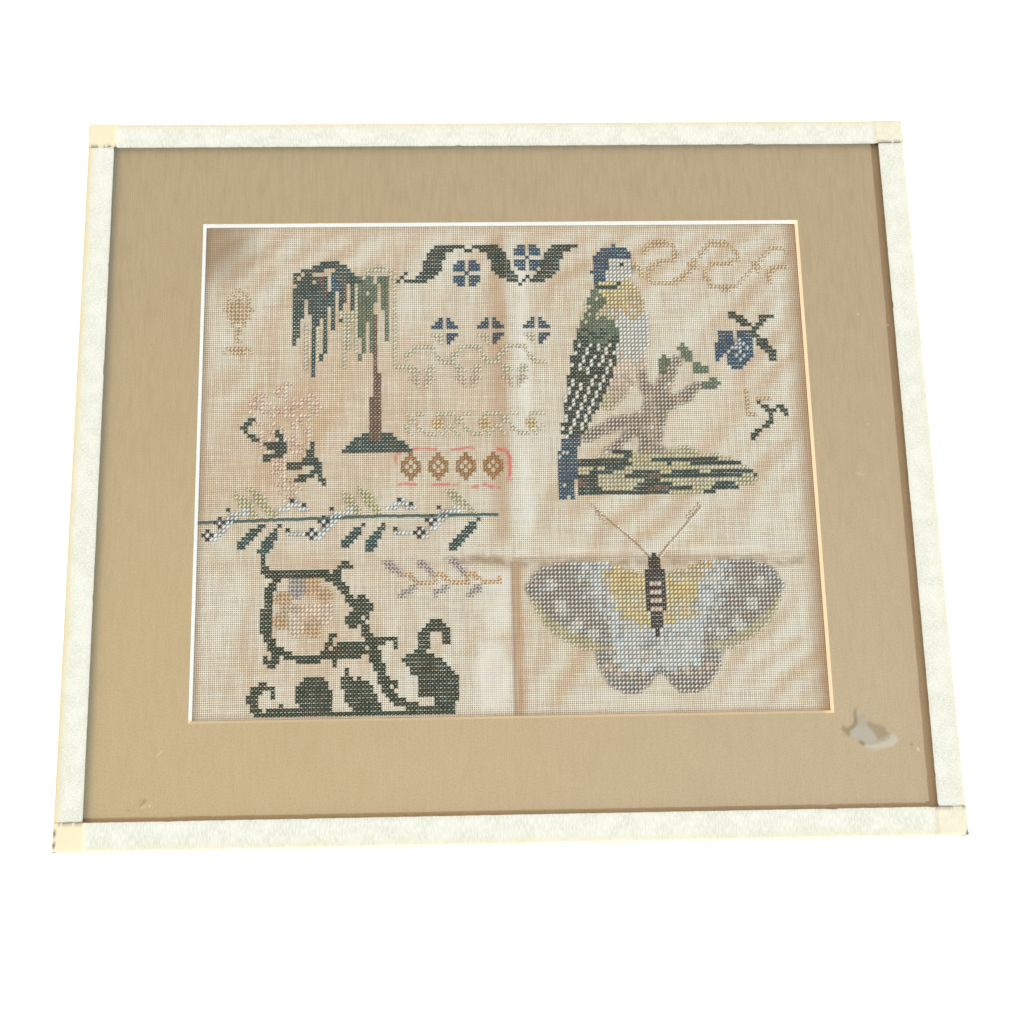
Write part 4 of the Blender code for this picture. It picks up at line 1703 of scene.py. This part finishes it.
# Outlines of the torn patch in millimetres from its middle, each with colour and depth; the last wins
SCAR_PATCHES = (
    (
        ((-13.4, 0.1), (-12.2, 1.9), (-11.2, 0.9), (-10.5, 0.1), (-9.6, 1.4), (-8.6, 1.3), (-7.4, 4.0),
         (-7.9, 8.0), (-5.6, 10.3), (-6.3, 7.1), (-5.8, 3.9), (-4.6, 6.4), (-2.6, 8.6), (-1.9, 6.5),
         (-2.4, 3.6), (-0.2, 4.3), (0.7, 2.7), (3.3, 1.9), (6.4, 1.1), (8.2, -1.8), (10.3, -1.9),
         (12.7, -5.3), (9.8, -7.9), (5.5, -9.3), (0.8, -9.8), (-2.3, -8.7), (-6.3, -6.0), (-9.8, -3.9),
         (-10.8, -3.3)),
        (190, 178, 158), 0.16,
    ),
    (
        ((-13.4, 0.1), (-12.2, 1.9), (-11.2, 0.9), (-10.5, 0.1), (-9.6, 1.4), (-8.6, 1.3), (-7.0, 4.0),
         (-7.2, 8.0), (-5.6, 10.3), (-6.0, 7.1), (-5.4, 3.6), (-6.4, 0.6), (-8.6, -1.0), (-10.2, -4.0)),
        (158, 138, 106), 0.08,
    ),
    (
        ((-9.4, -0.8), (-6.0, 1.0), (-3.0, 1.4), (0.6, -1.0), (3.0, -4.6), (0.0, -7.4), (-4.6, -6.6),
         (-8.0, -4.6)),
        (194, 185, 172), 0.22,
    ),
    (
        ((-0.2, 4.3), (0.7, 2.7), (3.3, 1.9), (6.4, 1.1), (8.2, -2.6), (7.5, -3.7), (3.2, -5.1),
         (1.4, -1.5), (-1.5, 1.7)),
        (170, 152, 120), 0.18,
    ),
    (
        ((8.1, -3.1), (10.3, -1.9), (12.7, -5.3), (9.8, -7.9), (5.5, -9.3), (0.8, -9.8), (-2.3, -8.7),
         (-4.3, -7.6), (-0.6, -7.2), (3.6, -6.5), (8.0, -4.7)),
        (212, 204, 184), -0.18,
    ),
    (
        ((-6.3, -6.0), (-3.8, -7.6), (-2.7, -6.6), (-4.6, -5.2)),
        (146, 124, 92), 0.20,
    ),
)
FACE_TAN = (196, 174, 136)
SCAR_SAMPLES = ((0, 0), (-0.5, -0.4), (0.5, -0.4), (-0.4, 0.5), (0.4, 0.5))
SCAR_COVER = 0.88


def scar_point(dx, dy):
    """Share, colour and depth of the torn patch, with dx and dy in millimetres from its middle."""
    dx += 0.45 * wobble(dx * 0.9, dy * 0.9, 1.0)
    dy += 0.45 * wobble(dx * 0.9, dy * 0.9, 7.0)
    share, colour, depth = 0.0, FACE_TAN, 0.0
    for outline, patch_colour, patch_depth in SCAR_PATCHES:
        if inside(outline, dx, dy):
            share, colour, depth = 1.0, patch_colour, patch_depth
    grain = 1 + 0.10 * wobble(dx * 1.4 - dy * 0.8, dx * 0.4 + dy * 0.5, 3.0)
    return share, [c * grain for c in srgb(*colour)], depth


def scar_at(x, y):
    """The torn patch at a place on the mat, averaged over a few points so its edges are feathered."""
    dx = (x - SCAR_X) / MM
    dy = (y - SCAR_Y) / MM
    if max(abs(dx), abs(dy)) > SCAR_REACH / MM:
        return 0.0, [*srgb(*FACE_TAN), 1.0], 0.0
    found = [scar_point(dx + u, dy + v) for u, v in SCAR_SAMPLES]
    share = sum(row[0] for row in found) / len(found)
    tones = [row[1] for row in found if row[0]] or [srgb(*FACE_TAN)]
    colour = [min(sum(tone[k] for tone in tones) / len(tones), 1.0) for k in range(3)]
    return SCAR_COVER * share, [*colour, 1.0], sum(row[2] for row in found) / len(found)


print(len(SCAR_PATCHES), "outlines in the torn patch")

# %% [markdown]
# The face paper is tan with faint laid lines, faded unevenly and scuffed, with painted shade beside the
# side tapes. The core is a white card that shows only where the bevel cuts it; two of its sides get
# painted warm tones and a painted glow for light through its thin edge.

# %% Mat finishes
LAID_PITCH = 1.05 * MM


def mat_face_finish():
    """Tan paper with faint laid lines, uneven with age, its torn patch, and painted shade beside the side
    tapes.
    """
    f = Finish("tan_mat_board", 0.88)
    across = f.x.rising(-0.19, 0.19)
    up = f.y.rising(-0.17, 0.17)
    tone = f.mix(across, srgb(209, 182, 138), srgb(203, 181, 148))
    tone = f.mix(up * 0.78, tone, srgb(180, 158, 124))
    clouds = f.noise(26.0, 3.0, seed=0.3)
    tone = f.mix((clouds - 0.5).math("ABSOLUTE") * 0.5, tone, srgb(178, 150, 112))
    laid = ((f.x / LAID_PITCH).math("FRACT") - 0.5).math("ABSOLUTE") * 2.0
    laid = laid * f.noise(300.0, 2.0, stretch=(1, 5, 1), seed=0.1).rising(0.25, 0.6)
    ribs = f.noise(700.0, 1.0, stretch=(1, 9, 1))
    grain = f.noise(1300.0, 3.0, seed=0.6)
    tone = f.mix(laid * 0.26, tone, srgb(224, 204, 168))
    tone = f.mix(ribs.rising(0.4, 0.62) * 0.12, tone, srgb(216, 196, 160))
    tone = f.mix(grain.rising(0.48, 0.66) * 0.30, tone, srgb(168, 142, 108))
    for mask, share, colour in mat_marks(f):
        tone = f.mix(mask * share, tone, colour)
    tone = f.mix(f.attribute("scar"), tone, f.attribute("scar_tone", "Color"))
    ribs = laid + ribs * 0.5
    f.feed("Base Color", tone)
    f.feed("Normal", f.bump(ribs * 0.6 + grain * 0.6, 0.10 * MM, 0.5))
    return f.material


def mat_marks(f):
    """Scuffs and dust on the face paper, painted shade beside the left tape and a painted pink edge to the
    right tape's shadow, as mask, strength and colour.
    """
    rough = f.noise(500.0, 3.0, seed=0.5).rising(0.45, 0.6)
    dust = srgb(238, 224, 194)
    shadow = srgb(146, 120, 84)
    return (
        (soft_spot(f, -165.5, -156.4, 8.0, 0.22, 33) * rough, 0.55, shadow),
        (soft_spot(f, -169.6, -159.2, 3.2, 0.45, 10) * rough, 0.50, shadow),
        (soft_spot(f, -164.4, -158.6, 8.0, 0.18, 32) * rough, 0.55, srgb(222, 204, 180)),
        (soft_spot(f, -158.3, -134.8, 3.0, 0.12, 48), 0.60, dust),
        (soft_spot(f, -161.9, -158.1, 0.8), 0.80, dust),
        (soft_spot(f, 184.6, -138.8, 1.7, 0.5, -60), 0.90, dust),
        (soft_spot(f, 182.2, -137.6, 2.8) * rough, 0.50, shadow),
        (soft_spot(f, 173.8, 18.5, 3.0, 0.6) * rough, 0.55, srgb(226, 208, 176)),
        (soft_spot(f, 168.4, -7.6, 3.4, 0.6) * rough, 0.50, srgb(226, 208, 176)),
        (soft_spot(f, 173.9, 74.3, 0.8), 0.80, dust),
        (soft_spot(f, 188.2, 68.3, 0.9), 0.80, dust),
        # Painted shade beside the left tape's inner edge
        (f.x.rising(-0.1866, -0.1912), 0.50, srgb(134, 126, 106)),
        # Painted pink edge to the shadow that the right tape throws
        (soft_box(f, 183.0, 187.0, -166, 166, 1.4), 0.20, srgb(206, 172, 142)),
    )


def core_finish():
    """The board's white core, cut by the bevel; its right and lower sides get painted warm tones and a
    painted glow, for light through the thin edge.
    """
    f = Finish("mat_core", 0.7)
    right = f.x.rising(0.140, 0.146)
    fibre = f.noise(900.0, 3.0)
    lower = f.y.rising(-0.1195, -0.1200)
    # Right and lower sides are barely reached by the sun: painted warm tones, the lower one a painted shade
    # darker
    tone = f.mix(right, srgb(255, 252, 246), srgb(250, 228, 194))
    tone = f.mix(lower, tone, srgb(238, 216, 178))
    tone = f.mix(fibre.rising(0.5, 0.8) * 0.12, tone, srgb(222, 204, 172))
    f.feed("Base Color", tone)
    # Painted glow on the right and lower sides, for light through the thin edge
    f.feed("Emission Color", f.mix(right.math("MAXIMUM", lower * 0.30), (0.0, 0.0, 0.0), tone))
    f.surface.inputs["Emission Strength"].default_value = 0.42
    f.feed("Normal", f.bump(fibre, 0.05 * MM, 0.5))
    return f.material


MAT_FINISHES = [mat_face_finish(), core_finish()]
print("finishes", [finish.name for finish in MAT_FINISHES])

# %% [markdown]
# The board is one closed grid with a hole for the window. Its lower rim is set in by the bevel, which
# slopes at 45 degrees as a mat cutter's blade does. A boolean cut would give the same shape, but not
# the close grid that the torn patch needs.

# %% Mat board
MAT_CELLS = 24


def mat_lines(low, high, edges, scar):
    """Grid lines: board edges, window edges, and close lines across the torn patch."""
    near, far = scar - SCAR_REACH, scar + SCAR_REACH
    coarse = [low + (high - low) * k / MAT_CELLS for k in range(MAT_CELLS + 1)]
    kept = [at for at in coarse if all(abs(at - e) > 2 * MM for e in edges)]
    kept = [at for at in kept if not near < at < far]
    fine = np.arange(near, far, SCAR_STEP).tolist()
    fine = [at for at in fine if all(abs(at - e) > 0.1 * MM for e in edges)]
    return sorted({round(at, 6) for at in (low, high, *edges, *kept, *fine)})


def nearest(lines, at):
    """Which grid line is closest to a place."""
    return min(range(len(lines)), key=lambda k: abs(lines[k] - at))


def make_mat():
    """The mat as one closed board, its window cut to a bevel."""
    xs = mat_lines(MAT_LOW.x, MAT_HIGH.x, (WIN_LEFT, WIN_RIGHT), SCAR_X)
    ys = mat_lines(MAT_LOW.y, MAT_HIGH.y, (WIN_LOW, WIN_TOP), SCAR_Y)
    left, right = nearest(xs, WIN_LEFT), nearest(xs, WIN_RIGHT)
    low, top = nearest(ys, WIN_LOW), nearest(ys, WIN_TOP)
    points = []
    index = {}
    scars = []
    tones = []
    for layer in (0, 1):
        for j, y in enumerate(ys):
            for i, x in enumerate(xs):
                if left < i < right and low < j < top:
                    continue
                on_window = left <= i <= right and low <= j <= top
                px, py = x, y
                if layer and on_window:
                    px += BEVEL * ((i == left) - (i == right))
                    py += BEVEL * ((j == low) - (j == top))
                share, colour, depth = scar_at(x, y)
                if layer or on_window:
                    share, depth = 0.0, 0.0
                z = MAT_LOW.z if layer else MAT_HIGH.z - depth * MM
                index[(layer, i, j)] = len(points)
                points.append((px, py, z))
                scars.append(share)
                tones.extend(colour)
    faces = []
    slots = []
    for j in range(len(ys) - 1):
        for i in range(len(xs) - 1):
            if left <= i < right and low <= j < top:
                continue
            for layer in (0, 1):
                quad = [index[(layer, i + u, j + v)] for u, v in ((0, 0), (1, 0), (1, 1), (0, 1))]
                faces.append(tuple(reversed(quad)) if layer else tuple(quad))
                slots.append(0)
    outer = rim_of(0, len(xs) - 1, 0, len(ys) - 1)
    window = rim_of(left, right, low, top)
    for loop, slot, flip in ((outer, 1, False), (window, 1, True)):
        for (i, j), (k, m) in zip(loop, loop[1:] + loop[:1]):
            quad = (index[(0, i, j)], index[(1, i, j)], index[(1, k, m)], index[(0, k, m)])
            faces.append(tuple(reversed(quad)) if flip else quad)
            slots.append(slot)
    piece = mesh_piece("mat_board", points, faces, MAT_FINISHES, smooth=False)
    piece.data.polygons.foreach_set("material_index", slots)
    keep(piece.data, "scar", scars)
    keep(piece.data, "scar_tone", tones, "FLOAT_COLOR")
    return piece


mat_board = make_mat()
print("mat", len(mat_board.data.polygons), "faces")

# %% [markdown]
# The tape is creped paper, cream where it is clean and yellow with glue where it is doubled. Its fine
# folds run across the roll, so the finish stretches its noise along a direction kept on each strip;
# the crests of the folds get a painted highlight, and the cut edges dirt and painted shade.

# %% Tape finish
TAPE_THICK = 0.4 * MM
FOLD_RADIUS = 0.7 * MM
FACE_SHOW = 12.6 * MM
BACK_SHOW = 15.6 * MM
LAP_STEP = 0.7 * MM
LAP_RAMP = 2.0 * MM
STATION = 0.9 * MM


def tape_finish():
    """Cream creped paper, yellowed along its outer edge and where it is doubled, with painted highlights on
    its folds and dirt and painted shade at its cut edges.
    """
    f = Finish("cream_paper_tape", 0.86)
    lap = f.attribute("lap")
    edge = f.attribute("edge")
    dirt_and_shade = f.attribute("dirt_and_shade")
    crepe = f.attribute("crepe", "Vector")
    mapped = f.node("ShaderNodeVectorMath", {"operation": "MULTIPLY"}, {0: crepe, 1: (1.0, 0.22, 1.0)})
    sockets = {"Vector": mapped, "Scale": 1500.0, "Detail": 3.0, "Roughness": 0.6}
    folds = f.node("ShaderNodeTexNoise", None, sockets, "Fac")
    clouds = f.noise(130.0, 4.0, seed=0.15)
    tone = f.mix(clouds.rising(0.35, 0.65), srgb(231, 233, 213), srgb(243, 244, 228))
    # Painted highlight on the crests of the crepe folds
    tone = f.mix(folds.rising(0.42, 0.62) * 0.75, tone, srgb(255, 255, 249))
    tone = f.mix(edge, tone, srgb(242, 230, 180))
    tone = f.mix(lap, tone, srgb(252, 242, 204))
    # Dirt and painted shade along the cut edges, where one strip laps another, and at the frayed ends
    tone = f.mix(dirt_and_shade, tone, srgb(92, 70, 54))
    f.feed("Base Color", tone)
    f.feed("Normal", f.bump(folds, 0.25 * MM, 0.75))
    return f.material


tape = tape_finish()
print("finish", tape.name)

# %% [markdown]
# Each strip is folded over an edge of the stack, so it is lofted from one folded section. Its cut edge
# wanders by a tenth of a millimetre, it stands off the glass a little here and there, and the lower
# and upper strips step up where they lap over the side strips.

# %% Tape strips
def folded_section(reach_face, z_back, z_face):
    """Closed section of folded tape, as (inward from the edge, height) points."""
    t = TAPE_THICK
    r = FOLD_RADIUS
    outer = [(BACK_SHOW, z_back), (BACK_SHOW * 0.5, z_back), (r, z_back)]
    outer += [(r * (1 - math.sin(a)), z_back + r * (1 - math.cos(a))) for a in (0.5, 1.05)]
    outer += [(0.0, z_back + r), (0.0, z_face + t - r)]
    outer += [(r * (1 - math.cos(a)), z_face + t - r * (1 - math.sin(a))) for a in (0.5, 1.05)]
    outer += [(r + (reach_face - r) * s, z_face + t) for s in (0.0, 0.18, 0.38, 0.6, 0.82, 0.97, 1.0)]
    inner = [(reach_face, z_face), (reach_face * 0.5, z_face), (t + 0.1 * MM, z_face)]
    inner += [(t, z_face - 0.3 * MM), (t, z_back + t + 0.3 * MM)]
    inner += [(t + 0.1 * MM, z_back + t), (BACK_SHOW * 0.5, z_back + t), (BACK_SHOW, z_back + t)]
    return outer + inner


def wander(at, seed, size):
    """A small signed drift along a strip, with a few nicks."""
    slow = wobble(at * 30, seed, 0.5)
    quick = wobble(at * 420, seed, 4.5)
    nick = max(wobble(at * 170, seed, 9.5) - 0.50, 0.0)
    return size * (0.5 * slow + 0.8 * quick) - 1.4 * MM * nick


def make_strip(name, side, along_x, z_back, z_face, length, yellow, seed):
    """One strip; side is -1 or 1, along_x says which way it runs, yellow how aged its outer edge is."""
    half = length / 2
    depth = WHOLE_HIGH.y if along_x else WHOLE_HIGH.x
    count = round(length / STATION)
    points = []
    laps = []
    edges = []
    dirt_and_shade_values = []
    crepes = []
    lap_from = WHOLE_HIGH.x - FACE_SHOW - 0.3 * MM
    for n in range(count + 1):
        at = -half + length * n / count
        over = float(ease((abs(at) - lap_from + LAP_RAMP) / LAP_RAMP)) if along_x else 0.0
        reach = FACE_SHOW + wander(at, seed, 0.10 * MM) + over * wander(at, seed + 5.0, 0.30 * MM)
        section = folded_section(reach, z_back, z_face + LAP_STEP * over)
        size = len(section)
        puff = 0.10 * MM * wobble(at * 90, seed, 2.0)
        for inward, z in section:
            on_face = z > z_face - 0.05 * MM and inward > 1.0 * MM
            ragged = 0.0
            if along_x and n in (0, count) and inward > 0.4 * MM:
                ragged = 0.6 * MM * abs(wobble(inward * 900, seed, z * 50))
            x_or_y = at - math.copysign(ragged, at)
            z += puff * (on_face and inward / FACE_SHOW)
            out = side * (depth - inward)
            points.append((x_or_y, out, z) if along_x else (out, x_or_y, z))
            laps.append(over * (0.95 if at < 0 else 0.45))
            wavy = inward / MM + 1.2 * wobble(at * 60, inward * 60, seed)
            edges.append(yellow * float(ease(1 - wavy / 4.2)) if z > z_face - 1 * MM else 0.8)
            # Dirt and painted shade along the inner cut edge: faint all along, dark and broken where the
            # strip laps another, and at the frayed ends
            cut = float(ease(1 - (reach - inward) / (0.7 * MM))) if z > z_face else 0.0
            torn = 0.95 if over > 0.5 and wobble(at * 700, seed, 2.5) > -0.25 else 0.12
            frayed = n < 2 and along_x and side < 0
            frayed = frayed and wobble(inward * 420, 1.0, z * 90) > 0.05
            tip = n > count - 2 and along_x and side < 0 and inward < 1.4 * MM
            dirt_and_shade_values.append(0.85 if frayed or tip else cut * torn)
            crepes.extend((at, (inward + z) * (1.0 if along_x else 2.6), 0.0))
    faces = []
    for n in range(count):
        for k in range(size):
            j = (k + 1) % size
            a = n * size
            faces.append((a + k, a + j, a + size + j, a + size + k))
    faces.append(tuple(range(size)))
    faces.append(tuple(count * size + k for k in reversed(range(size))))
    piece = mesh_piece(name, points, faces, [tape])
    face_outwards(piece)
    piece.data.set_sharp_from_angle(angle=math.radians(50))
    for label, values in (("lap", laps), ("edge", edges), ("dirt_and_shade", dirt_and_shade_values)):
        keep(piece.data, label, values)
    keep(piece.data, "crepe", crepes, "FLOAT_VECTOR")
    return piece


def make_tape():
    """All four strips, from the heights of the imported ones."""
    strips = {}
    for node, side, along_x, yellow in (
        ("binding_left", -1, False, 0.75),
        ("binding_right", 1, False, 0.30),
        ("binding_bottom", -1, True, 0.40),
        ("binding_top", 1, True, 0.50),
    ):
        low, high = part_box(node)
        z_face = (high.z - LAP_STEP if along_x else high.z) - TAPE_THICK
        length = high.x - low.x if along_x else high.y - low.y
        name = node.replace("binding", "tape")
        strips[node] = make_strip(name, side, along_x, low.z, z_face, length, yellow, 3.0 * len(strips) + 1)
    return strips


strips = make_tape()
print("tape", sum(len(p.data.polygons) for p in strips.values()), "faces")

# %% [markdown]
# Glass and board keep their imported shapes: flat sheets with straight edges. The glass lets light
# through and keeps a weak gloss, so that the lamps still reach the linen. The board is recycled
# card, seen only from behind.

# %% Glass and backing board
def glass_finish():
    """Clear sheet glass: mostly open, with a faint reflection."""
    f = Finish("clear_glass", 0.02)
    f.tree.nodes.remove(f.surface)
    clear = f.node("ShaderNodeBsdfTransparent", None, {"Color": (0.985, 0.992, 0.988, 1.0)})
    gloss = f.node("ShaderNodeBsdfGlossy", None, {"Color": (1, 1, 1, 1), "Roughness": 0.02})
    both = f.node("ShaderNodeMixShader", None, {0: 0.02, 1: clear, 2: gloss})
    out = f.tree.nodes["Material Output"]
    f.tree.links.new(both.socket, out.inputs["Surface"])
    return f.material


def board_finish():
    """Grey recycled card with dark and light fibres."""
    f = Finish("grey_board", 0.93)
    cloud = f.noise(40.0, 3.0)
    fibre = f.noise(1400.0, 4.0, stretch=(1, 3, 1))
    tone = f.mix(cloud, srgb(150, 140, 122), srgb(174, 163, 143))
    tone = f.mix(fibre.rising(0.58, 0.72) * 0.5, tone, srgb(110, 98, 82))
    tone = f.mix(fibre.rising(0.42, 0.30) * 0.4, tone, srgb(200, 192, 174))
    f.feed("Base Color", tone)
    f.feed("Normal", f.bump(fibre, 0.12 * MM, 0.5))
    return f.material


def repaint(node, material):
    """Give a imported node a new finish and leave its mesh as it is."""
    slots = NODES[node].material_slots
    if not slots:
        NODES[node].data.materials.append(material)
    for slot in slots:
        slot.material = material


repaint("glazing", glass_finish())
repaint("backing_board", board_finish())
print("glass and board painted")

# %% [markdown]
# Last, each piece is tied to the one body, and the imported nodes that it stands for are hidden.

# %% Tie the pieces to the frame
def tie(piece, slot_name, *nodes):
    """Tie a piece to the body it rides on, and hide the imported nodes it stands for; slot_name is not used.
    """
    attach(piece, BODY)
    if nodes:
        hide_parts(*nodes)


tie(linen, "aged_linen", "sampler_cloth")
for piece in sewn:
    tie(piece, "aged_linen")
tie(mat_board, "tan_mat_board", "window_mat")
for node, piece in strips.items():
    tie(piece, "cream_paper_tape", node)
